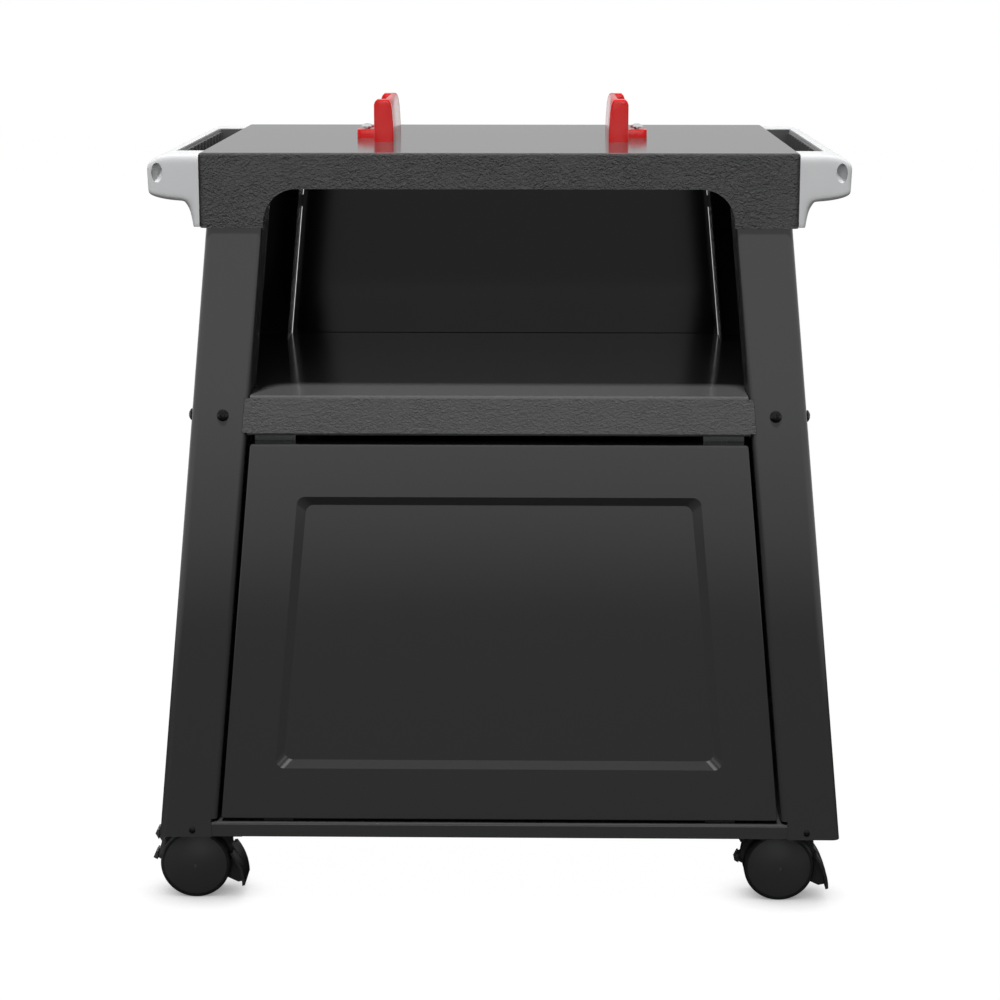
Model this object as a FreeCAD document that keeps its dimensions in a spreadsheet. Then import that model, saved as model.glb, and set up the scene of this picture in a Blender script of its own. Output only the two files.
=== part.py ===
import FreeCAD, Part
import math
import os
import Sketcher

# Grill cart with a storage cabinet, in millimetres.
# X runs to the right, Y to the back and Z up. The floor is Z = 0 and the cart is centred on X = Y = 0.

DRIVING = {
    # Worktop: a pressed pan whose rim forms the aprons
    "cart_height": 798,
    "top_width": 600,
    "top_depth": 450,
    "top_sheet": 2,
    "apron_drop": 75,
    "apron_corner": 6,
    "top_bend": 3,
    "arch_inset": 1.1,
    "arch_rise": 39,
    "arch_corner": 34,
    # Side frames: leaning sheets with front and rear flanges
    "frame_sheet": 1.5,
    "frame_inset": 5.4,
    "frame_splay": 65.4,
    "frame_top_gap": 1.2,
    "frame_bend": 8,
    "frame_inner_bend": 5,
    "flange_top_width": 57.2,
    "flange_foot_width": 60.2,
    "return_depth": 60,
    # Fixed panels between the side frames
    "panel_sheet": 1.5,
    "panel_bend": 3,
    "side_gap": 0.6,
    "seat_gap": 0.3,
    "shelf_level": 552.3,
    "header_height": 41.4,
    "header_return": 42,
    "header_ear": 4.7,
    "shelf_rear_lip": 20,
    "rail_height": 32,
    "rail_setback": 10,
    "base_rise": 16.8,
    "base_lip": 15.8,
    "base_notch": 5.9,
    "slit": 1.4,
    "back_floor_gap": 1,
    "tab_width": 14,
    "tab_reach": 14,
    "tab_root": 8,
    "tab_end_inset": 14,
    "tab_rail_gap": 7,
    # Caster rails and the stems that they carry
    "caster_sheet": 2.5,
    "caster_rail_width": 88,
    "caster_side_inset": 47.2,
    "caster_end_inset": 50,
    "collar_height": 3,
    "collar_radius": 9,
    "thread_radius": 5,
    "thread_length": 11,
    "nut_radius": 9,
    "nut_height": 7,
    "stem_radius": 4,
    "stem_length": 30,
    # Casters
    "wheel_radius": 37.5,
    "wheel_headroom": 3,
    "wheel_trail": 13.4,
    "wheel_gap": 1,
    "wheel_dome": 6,
    "tread_depth": 4,
    "tread_width": 12,
    "tread_round": 1.5,
    "hood_thickness": 15,
    "hood_gap": 0.4,
    "fender_overhang": 2.5,
    "fender_wall": 3,
    "fender_gap": 2.9,
    "axle_radius": 3,
    "axle_half": 20,
    "running_gap": 0.1,
    "brake_thickness": 6.4,
    "brake_gap": 0.4,
    "brake_pad_width": 18,
    "brake_pin_radius": 2,
    "brake_pivot_inset": 10.5,
    "brake_pivot_rise": 20,
    # Door
    "door_inset": 1.5,
    "door_sheet": 1.5,
    "door_depth": 25,
    "door_head_gap": 9.7,
    "door_foot_gap": 3.4,
    "door_gap_high": 4,
    "door_gap_low": 4,
    "door_bend": 1.5,
    "door_corner": 3,
    "recess_side": 53,
    "recess_top": 54.4,
    "recess_bottom": 56,
    "recess_bevel": 9,
    "recess_depth": 3,
    "recess_corner": 9,
    "strike_lip": 12,
    # Hinges
    "hinge_inset": 60,
    "hinge_setback": 4.5,
    "hinge_rise": 2.2,
    "hinge_width": 31,
    "hinge_notch": 33,
    "leaf_sheet": 1.5,
    "leaf_height": 24,
    "barrel_radius": 3,
    "pin_radius": 2,
    "pin_gap": 0.1,
    "knuckle_gap": 0.2,
    # Magnetic catches
    "catch_inset": 23.6,
    "catch_width": 42,
    "catch_depth": 12,
    "catch_height": 22,
    "catch_gap": 0.4,
    # Handles
    "handle_reach": 52.5,
    "handle_height": 47,
    "handle_drop": 1.4,
    "handle_arm": 50,
    "handle_rail": 24,
    "handle_gusset": 26,
    "handle_gusset_foot": 7,
    "handle_end_radius": 14,
    "handle_dimple_inset": 9,
    "handle_dimple_width": 13,
    "handle_dimple_height": 18,
    "handle_dimple_depth": 4,
    "liner_sheet": 2.5,
    "liner_height": 34,
    "liner_drop": 4,
    "liner_rib": 3,
    "liner_rib_pitch": 26,
    "liner_end_gap": 1,
    # Grill brackets
    "bracket_x": 123.8,
    "bracket_width": 20.8,
    "bracket_length": 142,
    "bracket_height": 44,
    "bracket_crown": 48.2,
    "bracket_round": 16,
    "bracket_foot": 23.4,
    "bracket_foot_height": 11,
    "bracket_foot_corner": 4,
    # Fasteners
    "screw_radius": 2.5,
    "screw_length": 9,
    "screw_head_radius": 6,
    "screw_head_height": 3.4,
    "small_head_radius": 3.4,
    "small_head_height": 1.2,
    "small_screw_length": 6,
    "hole_gap": 0.2,
    "flange_screw_inset": 25.7,
    "rail_screw_drop": 19,
    "web_screw_drop": 20.4,
    "web_screw_inset": 16,
    "foot_screw_rise": 8,
    "handle_bolt_drop": 36,
    "handle_bolt_radius": 3,
    "handle_bolt_length": 18,
    "top_screw_radius": 3,
    "top_screw_length": 22,
    "top_screw_head": 7,
    "top_screw_head_height": 4.5,
    "top_nut_radius": 5.5,
    "top_nut_height": 5,
}

PLANE_XY = "XY_Plane"
PLANE_XZ = "XZ_Plane"
PLANE_YZ = "YZ_Plane"
LEFT = -1
RIGHT = 1
FRONT = -1
REAR = 1
Vector = FreeCAD.Vector


class Size:
    """A length that knows both its value and the sheet formula that gives it."""

    def __init__(self, value, text):
        self.value = float(value)
        self.text = text

    def __add__(self, other):
        other = size(other)
        return Size(self.value + other.value, f"({self.text} + {other.text})")

    def __sub__(self, other):
        other = size(other)
        return Size(self.value - other.value, f"({self.text} - {other.text})")

    def __mul__(self, other):
        other = size(other)
        return Size(self.value * other.value, f"({self.text} * {other.text})")

    def __truediv__(self, other):
        other = size(other)
        return Size(self.value / other.value, f"({self.text} / {other.text})")

    def __neg__(self):
        return Size(-self.value, f"(0 - {self.text})")

    def __radd__(self, other):
        return size(other) + self

    def __rsub__(self, other):
        return size(other) - self

    def __rmul__(self, other):
        return self * other


def size(value):
    return value if isinstance(value, Size) else Size(value, f"{float(value):.6g}")


class Sheet:
    """The driving sizes by name: each attribute is a Size bound to its sheet cell."""

    def __init__(self, document):
        cells = document.addObject("Spreadsheet::Sheet", "Sizes")
        for row, (name, value) in enumerate(DRIVING.items(), start=1):
            cells.set(f"A{row}", name)
            cells.set(f"B{row}", str(value))
            cells.setAlias(f"B{row}", name)
            setattr(self, name, Size(value, f"Sizes.{name}"))
        document.recompute()


DOC = FreeCAD.newDocument("GrillCart")
s = Sheet(DOC)
pieces = []


# Document helpers

def keep(piece, label):
    """Give a finished sub-part its label and put it on the list of files to write."""
    piece.Label = label
    pieces.append(piece)
    return piece


def move(piece, x=0, y=0, z=0, rotation=None):
    spots = [size(x), size(y), size(z)]
    base = Vector(*[spot.value for spot in spots])
    piece.Placement = FreeCAD.Placement(base, rotation or FreeCAD.Rotation())
    for axis, spot in zip("xyz", spots):
        piece.setExpression(f".Placement.Base.{axis}", spot.text)


def new_body(name, x=0, y=0, z=0, rotation=None):
    body = DOC.addObject("PartDesign::Body", name)
    body.Label = name
    move(body, x, y, z, rotation)
    return body


def new_sketch(body, role, level=0):
    """A sketch on one of the body's own planes, raised by level along the plane's normal."""
    sketch = body.newObject("Sketcher::SketchObject", "Outline")
    plane = next(item for item in body.Origin.OriginFeatures if item.Role == role)
    sketch.AttachmentSupport = [(plane, "")]
    sketch.MapMode = "FlatFace"
    sketch.setExpression(".AttachmentOffset.Base.z", size(level).text)
    return sketch


def pin_point(sketch, index, end, u, v):
    """Tie one end of a sketch line or arc to its sheet sizes, measured from the origin."""
    for kind, value in (("DistanceX", u), ("DistanceY", v)):
        row = sketch.addConstraint(Sketcher.Constraint(kind, -1, 1, index, end, value.value))
        sketch.setExpression(f"Constraints[{row}]", value.text)


def arc_between(start, end, radius):
    """The arc from start to end, its centre on the left of travel, or on the right for a minus radius."""
    chord = end - start
    middle = (start + end) * 0.5
    reach = math.sqrt(max(radius ** 2 - chord.Length ** 2 / 4, 0))
    side = Vector(-chord.y, chord.x, 0).normalize() * math.copysign(reach, radius)
    centre = middle + side
    first, last = (start, end) if radius > 0 else (end, start)
    angles = [math.atan2(spot.y - centre.y, spot.x - centre.x) for spot in (first, last)]
    circle = Part.Circle(centre, Vector(0, 0, 1), abs(radius))
    return Part.ArcOfCircle(circle, *angles)


def draw(sketch, corners):
    """Draw a closed outline through corners (u, v). A third entry bends the run that leaves the corner."""
    spots = [(size(corner[0]), size(corner[1])) for corner in corners]
    ends = []
    for number, corner in enumerate(corners):
        u, v = spots[number]
        next_u, next_v = spots[(number + 1) % len(spots)]
        start = Vector(u.value, v.value, 0)
        end = Vector(next_u.value, next_v.value, 0)
        if len(corner) == 2:
            index = sketch.addGeometry(Part.LineSegment(start, end))
            ends.append((index, 1, 2))
            continue
        radius = size(corner[2])
        index = sketch.addGeometry(arc_between(start, end, radius.value))
        row = sketch.addConstraint(Sketcher.Constraint("Radius", index, abs(radius.value)))
        sketch.setExpression(f"Constraints[{row}]", f"abs({radius.text})")
        ends.append((index, 1, 2) if radius.value > 0 else (index, 2, 1))
    for number, (index, first, last) in enumerate(ends):
        following, its_first, its_last = ends[(number + 1) % len(ends)]
        sketch.addConstraint(Sketcher.Constraint("Coincident", index, last, following, its_first))
        pin_point(sketch, index, first, *spots[number])
    return sketch


def draw_circle(sketch, u, v, radius):
    u, v, radius = size(u), size(v), size(radius)
    circle = Part.Circle(Vector(u.value, v.value, 0), Vector(0, 0, 1), radius.value)
    index = sketch.addGeometry(circle)
    pin_point(sketch, index, 3, u, v)
    row = sketch.addConstraint(Sketcher.Constraint("Radius", index, radius.value))
    sketch.setExpression(f"Constraints[{row}]", radius.text)
    return sketch


def rectangle(low_u, low_v, high_u, high_v):
    return [(low_u, low_v), (high_u, low_v), (high_u, high_v), (low_u, high_v)]


def extrude(body, kind, sketch, length, symmetric=False, reverse=False):
    feature = body.newObject(f"PartDesign::{kind}", kind)
    feature.Profile = sketch
    feature.Length = size(length).value
    feature.setExpression("Length", size(length).text)
    feature.SideType = "Symmetric" if symmetric else "One side"
    feature.Reversed = reverse
    DOC.recompute()
    return feature


def pad(body, role, corners, length, level=0, symmetric=False, reverse=False):
    sketch = draw(new_sketch(body, role, level), corners)
    return extrude(body, "Pad", sketch, length, symmetric, reverse)


def pocket(body, role, corners, length, level=0, symmetric=False, reverse=False):
    """Cut an outline away, and refuse a cut that removes nothing."""
    before = body.Shape.Volume
    sketch = draw(new_sketch(body, role, level), corners)
    extrude(body, "Pocket", sketch, length, symmetric, reverse)
    check_cut(body, before)


def drill(body, role, spots, radius, length, level=0, symmetric=False, reverse=False):
    """Cut round holes at spots (u, v), and refuse a cut that removes nothing."""
    before = body.Shape.Volume
    sketch = new_sketch(body, role, level)
    for u, v in spots:
        draw_circle(sketch, u, v, radius)
    extrude(body, "Pocket", sketch, length, symmetric, reverse)
    check_cut(body, before)


def check_cut(body, before):
    if body.Shape.Volume >= before - 0.01:
        raise RuntimeError(f"A cut in {body.Label} removes nothing")


def revolve(body, role, corners, axis):
    """Turn an outline once round the sketch's own H_Axis or V_Axis."""
    sketch = draw(new_sketch(body, role), corners)
    feature = body.newObject("PartDesign::Revolution", "Revolution")
    feature.Profile = sketch
    feature.ReferenceAxis = (sketch, [axis])
    feature.Angle = 360
    DOC.recompute()
    return feature


def round_edges(body, radius, wanted):
    """Fillet the edges of the body's last feature that the test picks."""
    base = body.Tip
    names = [f"Edge{number}" for number, edge in enumerate(base.Shape.Edges, start=1) if wanted(edge)]
    fillet = body.newObject("PartDesign::Fillet", "Fillet")
    fillet.Base = (base, names)
    fillet.Radius = size(radius).value
    fillet.setExpression("Radius", size(radius).text)
    DOC.recompute()
    return fillet


def shell(body, sheet, open_face):
    """Hollow the body to a sheet, leaving out the faces that the test picks."""
    base = body.Tip
    names = [f"Face{number}" for number, face in enumerate(base.Shape.Faces, start=1) if open_face(face)]
    thickness = body.newObject("PartDesign::Thickness", "Shell")
    thickness.Base = (base, names)
    thickness.Value = size(sheet).value
    thickness.setExpression("Value", size(sheet).text)
    thickness.Reversed = True
    DOC.recompute()
    return thickness


def runs_along(edge, axis):
    """True for a straight edge parallel to the axis, within two degrees or so."""
    if edge.Curve.TypeId != "Part::GeomLine":
        return False
    return abs(edge.tangentAt(edge.FirstParameter).dot(axis)) > 0.999


def mirrored(source, label, normal=Vector(1, 0, 0)):
    """The opposite hand of a sub-part, mirrored through the cart's middle."""
    mirror = DOC.addObject("Part::Mirroring", label)
    mirror.Source = source
    mirror.Base = Vector(0, 0, 0)
    mirror.Normal = normal
    return keep(mirror, label)


def group(label, pattern, spots):
    """Identical small parts as one node: links to the pattern at spots (x, y, z, rotation)."""
    links = []
    for x, y, z, rotation in spots:
        link = DOC.addObject("App::Link", "Copy")
        link.LinkedObject = pattern
        move(link, x, y, z, rotation)
        links.append(link)
    compound = DOC.addObject("Part::Compound", label)
    compound.Links = links
    return keep(compound, label)


X_AXIS = Vector(1, 0, 0)
Y_AXIS = Vector(0, 1, 0)
Z_AXIS = Vector(0, 0, 1)
UPRIGHT = FreeCAD.Rotation()
TOWARDS_FRONT = FreeCAD.Rotation(X_AXIS, 90)
TOWARDS_REAR = FreeCAD.Rotation(X_AXIS, -90)
TOWARDS_LEFT = FreeCAD.Rotation(Y_AXIS, -90)
TOWARDS_RIGHT = FreeCAD.Rotation(Y_AXIS, 90)

# Levels and faces that several sub-parts share
half_depth = s.top_depth / 2
half_width = s.top_width / 2
frame_face = half_depth - s.top_sheet
flange_back = frame_face - s.frame_sheet
shelf_back = flange_back - s.seat_gap
shoulder_level = s.cart_height - s.apron_drop
frame_bottom = s.wheel_radius * 2 + s.wheel_headroom
frame_top = s.cart_height - s.top_sheet - s.frame_top_gap
lean_span = shoulder_level - frame_bottom
shoulder_half = half_width - s.frame_inset
foot_half = shoulder_half + s.frame_splay
base_level = frame_bottom + s.base_rise
base_under = base_level - s.panel_sheet
shelf_under = s.shelf_level - s.panel_sheet
header_bottom = s.shelf_level - s.header_height
door_face = frame_face - s.door_inset
door_top = header_bottom - s.door_head_gap
door_bottom = base_level + s.door_foot_gap
hinge_y = door_face - s.hinge_setback
hinge_z = door_bottom + s.hinge_rise


def outer_half(level):
    """Half the width over the side frames at a height."""
    return foot_half - s.frame_splay / lean_span * (level - frame_bottom)


def inner_half(level):
    """Half the width between the flange edges at a height."""
    taper = (s.flange_foot_width - s.flange_top_width) / lean_span
    return outer_half(level) - s.flange_foot_width + taper * (level - frame_bottom)


def web_half(level):
    """Half the width between the webs of the side frames at a height."""
    return outer_half(level) - s.frame_sheet


# Places across the cart
base_half = inner_half(base_level) + s.base_notch
rail_inner = inner_half(shelf_under) + s.rail_setback
caster_rail_inner = foot_half - s.caster_rail_width
caster_x = foot_half - s.caster_side_inset
caster_y = half_depth - s.caster_end_inset
door_bottom_half = inner_half(door_bottom) - s.door_gap_low
door_top_half = inner_half(door_top) - s.door_gap_high
hinge_x = door_bottom_half - s.hinge_inset
catch_x = door_top_half - s.catch_inset
bracket_screw_x = s.bracket_x + s.bracket_width / 2 + s.bracket_foot / 2

# Holes and the fasteners that fill them
screw_hole = s.screw_radius + s.hole_gap
bolt_hole = s.handle_bolt_radius + s.hole_gap
flange_screw_z = shelf_under - s.rail_screw_drop
flange_screw_x = inner_half(flange_screw_z) + s.flange_screw_inset
foot_screw_z = frame_bottom + s.foot_screw_rise
foot_screw_x = inner_half(foot_screw_z) + s.flange_screw_inset
web_screw_y = half_depth - s.web_screw_inset
web_screw_z = shelf_under - s.web_screw_drop
handle_bolt_y = half_depth - s.handle_arm / 2
handle_bolt_z = s.cart_height - s.handle_bolt_drop

# Back panel and its tabs
back_bottom = base_level + s.back_floor_gap
back_top = shoulder_level
tab_low = back_bottom + s.tab_end_inset * 2
tab_under_rail = shelf_under - s.rail_height - s.tab_rail_gap
tab_levels = [tab_low, (tab_low + tab_under_rail) / 2, tab_under_rail, back_top - s.tab_end_inset]


def tab_screw_x(level):
    """The screw that holds a tab, halfway along the part that laps the flange."""
    return inner_half(level) + s.tab_reach / 2


# Worktop

def make_top_pan():
    body = new_body("top_pan", z=s.cart_height)
    plan = rectangle(-half_width, -half_depth, half_width, half_depth)
    pad(body, PLANE_XY, plan, s.apron_drop, reverse=True)
    round_edges(body, s.apron_corner, lambda edge: runs_along(edge, Z_AXIS))
    round_edges(body, s.top_bend, lambda edge: abs(edge.CenterOfMass.z) < 0.01)
    shell(body, s.top_sheet, lambda face: face.CenterOfMass.z < -s.apron_drop.value + 0.01)
    below = -s.apron_drop - 1
    arch_half = inner_half(shoulder_level) - s.arch_inset
    spring = s.arch_rise - s.arch_corner - s.apron_drop
    crown = s.arch_rise - s.apron_drop
    arch = [
        (-arch_half, below),
        (arch_half, below),
        (arch_half, spring, s.arch_corner),
        (arch_half - s.arch_corner, crown),
        (s.arch_corner - arch_half, crown, s.arch_corner),
        (-arch_half, spring),
    ]
    pocket(body, PLANE_XZ, arch, s.top_depth + 2, symmetric=True)
    bolts = [(side * handle_bolt_y, -s.handle_bolt_drop) for side in (FRONT, REAR)]
    drill(body, PLANE_YZ, bolts, bolt_hole, s.top_width + 2, symmetric=True)
    feet = [(side * bracket_screw_x, 0) for side in (LEFT, RIGHT)]
    drill(body, PLANE_XY, feet, s.top_screw_radius + s.hole_gap, s.top_sheet * 3, symmetric=True)
    keep(body, "top_pan")


# Side frames and the rails inside them

def make_side_frame():
    body = new_body("left_side_frame")
    outline = [
        (-outer_half(frame_bottom), frame_bottom),
        (-inner_half(frame_bottom), frame_bottom),
        (-inner_half(frame_top), frame_top),
        (-outer_half(frame_top), frame_top),
    ]
    pad(body, PLANE_XZ, outline, frame_face * 2, symmetric=True)
    middle = (outline[0][0].value + outline[2][0].value) / 2
    upright = lambda edge: abs(edge.CenterOfMass.y) > 1 and edge.Length > lean_span.value
    round_edges(body, s.frame_bend, lambda edge: upright(edge) and edge.CenterOfMass.x < middle)
    round_edges(body, s.frame_inner_bend, lambda edge: upright(edge) and edge.CenterOfMass.x > middle)
    shell(body, s.frame_sheet, lambda face: abs(face.normalAt(0, 0).z) > 0.99)
    window = rectangle(s.return_depth - frame_face, 0, frame_face - s.return_depth, s.cart_height)
    inside = outer_half(frame_top) - s.frame_bend
    pocket(body, PLANE_YZ, window, inside, level=-inside, reverse=True)
    bend_side = -inner_half(frame_bottom) - s.frame_inner_bend - s.side_gap
    passage = rectangle(bend_side, -flange_back, -caster_rail_inner, flange_back)
    pocket(body, PLANE_XY, passage, base_level, level=base_level + s.side_gap)
    notch_edge = -base_half - s.side_gap / 2
    notch = rectangle(notch_edge, 0, -caster_rail_inner, door_bottom)
    pocket(body, PLANE_XZ, notch, s.top_depth, symmetric=True)
    slot = header_ear(s.seat_gap)
    pocket(body, PLANE_XZ, slot, s.frame_sheet + s.seat_gap, level=frame_face)
    flange_holes = [(-flange_screw_x, flange_screw_z), (-foot_screw_x, foot_screw_z)]
    drill(body, PLANE_XZ, flange_holes, screw_hole, s.top_depth, symmetric=True)
    web_holes = [(side * web_screw_y, web_screw_z) for side in (FRONT, REAR)]
    drill(body, PLANE_YZ, web_holes, screw_hole, foot_half, level=-inner_half(web_screw_z))
    tab_holes = [(-tab_screw_x(level), level) for level in tab_levels]
    drill(body, PLANE_XZ, tab_holes, screw_hole, s.frame_bend, level=-flange_back + s.side_gap)
    bolts = [(side * handle_bolt_y, handle_bolt_z) for side in (FRONT, REAR)]
    drill(body, PLANE_YZ, bolts, bolt_hole, foot_half, level=-inner_half(frame_top))
    keep(body, "left_side_frame")
    mirrored(body, "right_side_frame")


def make_shelf_rail():
    """An angle with end tabs, screwed inside the side frame, that carries the shelf's edge."""
    body = new_body("left_shelf_rail")
    bottom = shelf_under - s.rail_height
    bottom_to_top = s.rail_height.value / 2
    gap = s.side_gap / 2
    outline = [
        (gap - web_half(bottom), bottom),
        (-rail_inner, bottom),
        (-rail_inner, shelf_under),
        (gap - web_half(shelf_under), shelf_under),
    ]
    pad(body, PLANE_XZ, outline, flange_back * 2, symmetric=True)
    hollow = [
        (outline[0][0] + s.panel_sheet, bottom - 1),
        (1 - rail_inner, bottom - 1),
        (1 - rail_inner, shelf_under - s.panel_sheet),
        (outline[3][0] + s.panel_sheet, shelf_under - s.panel_sheet),
    ]
    pocket(body, PLANE_XZ, hollow, (flange_back - s.panel_sheet) * 2, symmetric=True)
    outer_side = 5 - web_half(shelf_under).value
    at_web = lambda edge: edge.CenterOfMass.x < outer_side and edge.BoundBox.ZLength > bottom_to_top
    inner_face = flange_back - s.panel_sheet
    round_edges(body, s.frame_bend - s.panel_sheet, lambda edge: at_web(edge) and at_end(edge, inner_face))
    round_edges(body, s.frame_bend, lambda edge: at_web(edge) and at_end(edge, flange_back))
    drill(body, PLANE_XZ, [(-flange_screw_x, flange_screw_z)], screw_hole, s.top_depth, symmetric=True)
    web_holes = [(side * web_screw_y, web_screw_z) for side in (FRONT, REAR)]
    drill(body, PLANE_YZ, web_holes, screw_hole, foot_half, level=-rail_inner - s.rail_setback)
    keep(body, "left_shelf_rail")
    mirrored(body, "right_shelf_rail")


def make_caster_rail():
    """A channel across the foot of the side frame. Its ends are screwed to the flanges."""
    body = new_body("left_caster_rail")
    gap = s.side_gap / 2
    outline = [
        (gap - web_half(frame_bottom), frame_bottom),
        (-caster_rail_inner, frame_bottom),
        (-caster_rail_inner, base_under),
        (gap - web_half(base_under), base_under),
    ]
    pad(body, PLANE_XZ, outline, flange_back * 2, symmetric=True)
    trough = rectangle(-foot_half, frame_bottom + s.caster_sheet, 1 - caster_rail_inner, base_under + 1)
    pocket(body, PLANE_XZ, trough, (flange_back - s.caster_sheet) * 2, symmetric=True)
    outer_side = 5 - web_half(base_under).value
    at_web = lambda edge: edge.CenterOfMass.x < outer_side and edge.BoundBox.ZLength > s.caster_sheet.value
    round_edges(body, s.frame_bend, lambda edge: at_web(edge) and at_end(edge, flange_back))
    brim = lambda edge: runs_along(edge, X_AXIS) and edge.CenterOfMass.z > base_under.value - 0.01
    round_edges(body, s.panel_bend - s.panel_sheet, lambda edge: brim(edge) and at_end(edge, flange_back))
    stems = [(-caster_x, side * caster_y) for side in (FRONT, REAR)]
    drill(body, PLANE_XY, stems, s.thread_radius + s.hole_gap, foot_half, level=0, symmetric=True)
    drill(body, PLANE_XZ, [(-foot_screw_x, foot_screw_z)], screw_hole, s.top_depth, symmetric=True)
    keep(body, "left_caster_rail")
    mirrored(body, "right_caster_rail")


def at_end(edge, depth):
    """True for an edge that lies in the plane at this depth, to the front or to the rear."""
    return edge.BoundBox.YLength < 0.01 and abs(abs(edge.CenterOfMass.y) - depth.value) < 0.01


# Panels between the side frames

def make_middle_shelf():
    """The shelf of the open bay. Its front edge folds down and under to make the header bar."""
    body = new_body("middle_shelf")
    low = inner_half(header_bottom) - s.side_gap
    pad(body, PLANE_YZ, shelf_section(), low * 2, symmetric=True)
    top_half = inner_half(s.shelf_level) - s.side_gap
    for side in (LEFT, RIGHT):
        wedge = [
            (side * top_half, s.shelf_level), (side * (low + 5), s.shelf_level),
            (side * (low + 5), header_bottom), (side * low, header_bottom),
        ]
        pocket(body, PLANE_XZ, wedge[::side], s.top_depth, symmetric=True)
    wide = web_half(s.shelf_level) - s.side_gap
    shoulder = flange_back - s.return_depth - s.side_gap
    wings = rectangle(-wide, -shoulder, wide, shoulder)
    pad(body, PLANE_XY, wings, s.panel_sheet, level=s.shelf_level, reverse=True)
    ear = header_ear(size(0))
    across = [(-x, z) for x, z in reversed(ear)]
    for outline in (ear, across):
        pad(body, PLANE_XZ, outline, s.panel_sheet, level=frame_face, reverse=True)
    keep(body, "middle_shelf")


def header_ear(gap):
    """The left end of the header's face, which reaches into a slot in the side frame's flange."""
    low = header_bottom + s.panel_bend - gap
    high = s.shelf_level - s.panel_bend + gap
    inner = -1 - s.side_gap
    outer = s.header_ear + gap
    return [
        (-inner_half(low) - outer, low), (-inner_half(low) - inner, low),
        (-inner_half(high) - inner, high), (-inner_half(high) - outer, high),
    ]


def shelf_section():
    """The folded sheet from the side: header return, header, shelf and rear lip."""
    bend = s.panel_bend
    inner = s.panel_bend - s.panel_sheet
    hem = s.header_return - frame_face
    lip = s.shelf_level - s.shelf_rear_lip
    return [
        (hem, header_bottom),
        (bend - frame_face, header_bottom, -bend),
        (-frame_face, header_bottom + bend),
        (-frame_face, s.shelf_level - bend, -bend),
        (bend - frame_face, s.shelf_level),
        (shelf_back - bend, s.shelf_level, -bend),
        (shelf_back, s.shelf_level - bend),
        (shelf_back, lip),
        (shelf_back - s.panel_sheet, lip),
        (shelf_back - s.panel_sheet, s.shelf_level - bend, inner),
        (shelf_back - bend, shelf_under),
        (bend - frame_face, shelf_under, inner),
        (-flange_back, s.shelf_level - bend),
        (-flange_back, header_bottom + bend, inner),
        (bend - frame_face, header_bottom + s.panel_sheet),
        (hem, header_bottom + s.panel_sheet),
    ]


def make_bottom_panel():
    body = new_body("bottom_panel")
    plan = rectangle(-base_half, -frame_face, base_half, frame_face)
    pad(body, PLANE_XY, plan, s.base_lip, level=base_level, reverse=True)
    top = lambda edge: runs_along(edge, X_AXIS) and edge.CenterOfMass.z > base_level.value - 0.01
    round_edges(body, s.panel_bend, top)
    ends = lambda face: abs(face.normalAt(0, 0).x) > 0.99
    under = lambda face: face.CenterOfMass.z < (base_level - s.base_lip).value + 0.01
    shell(body, s.panel_sheet, lambda face: ends(face) or under(face))
    keep(body, "bottom_panel")


def make_back_panel():
    """The flat back, a narrow slit clear of the rear legs, held by tabs on their outer face."""
    body = new_body("back_panel")
    low_half = inner_half(back_bottom) - s.slit
    high_half = inner_half(back_top) - s.slit
    outline = [
        (-low_half, back_bottom), (low_half, back_bottom), (high_half, back_top), (-high_half, back_top),
    ]
    pad(body, PLANE_XZ, outline, s.panel_sheet, level=-frame_face)
    for level in tab_levels:
        edge = inner_half(level) - s.slit
        for side in (LEFT, RIGHT):
            near = side * (edge - s.tab_root)
            far = side * (edge + s.slit + s.tab_reach)
            low, high = (far, near) if side == LEFT else (near, far)
            tab = rectangle(low, level - s.tab_width / 2, high, level + s.tab_width / 2)
            pad(body, PLANE_XZ, tab, s.panel_sheet, level=-frame_face, reverse=True)
    holes = [(side * tab_screw_x(level), level) for level in tab_levels for side in (LEFT, RIGHT)]
    drill(body, PLANE_XZ, holes, screw_hole, s.frame_bend, level=-frame_face)
    keep(body, "back_panel")


# Door

def make_door():
    """A pan with a bevelled recess. The body's origin lies on the hinge axis."""
    body = new_body("door_panel", y=-hinge_y, z=hinge_z)
    low = -s.hinge_rise
    high = door_top - hinge_z
    front = s.hinge_setback
    sheet = s.door_sheet
    outline = [
        (-door_bottom_half, low), (door_bottom_half, low),
        (door_top_half, high), (-door_top_half, high),
    ]
    pad(body, PLANE_XZ, outline, s.door_depth, level=front, reverse=True)
    round_edges(body, s.door_corner, lambda edge: runs_along(edge, Y_AXIS))
    round_edges(body, s.door_bend, lambda edge: abs(edge.CenterOfMass.y + front.value) < 0.01)
    hollow = [
        (sheet - door_bottom_half, low + sheet), (door_bottom_half - sheet, low + sheet),
        (door_top_half - sheet, high - sheet), (sheet - door_top_half, high - sheet),
    ]
    pocket(body, PLANE_XZ, hollow, s.door_depth, level=front - sheet)
    press_recess(body, low, high, front)
    for side in (LEFT, RIGHT):
        notch_half = s.hinge_notch / 2
        notch = rectangle(side * hinge_x - notch_half, sheet - front,
                          side * hinge_x + notch_half, s.door_depth)
        pocket(body, PLANE_XY, notch, sheet * 3, level=low - sheet, reverse=True)
    lip_half = door_top_half - sheet - 1
    lip = rectangle(-lip_half, high - s.strike_lip, lip_half, high - sheet / 2)
    pad(body, PLANE_XZ, lip, sheet, level=front - s.door_depth)
    keep(body, "door_panel")


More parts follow.
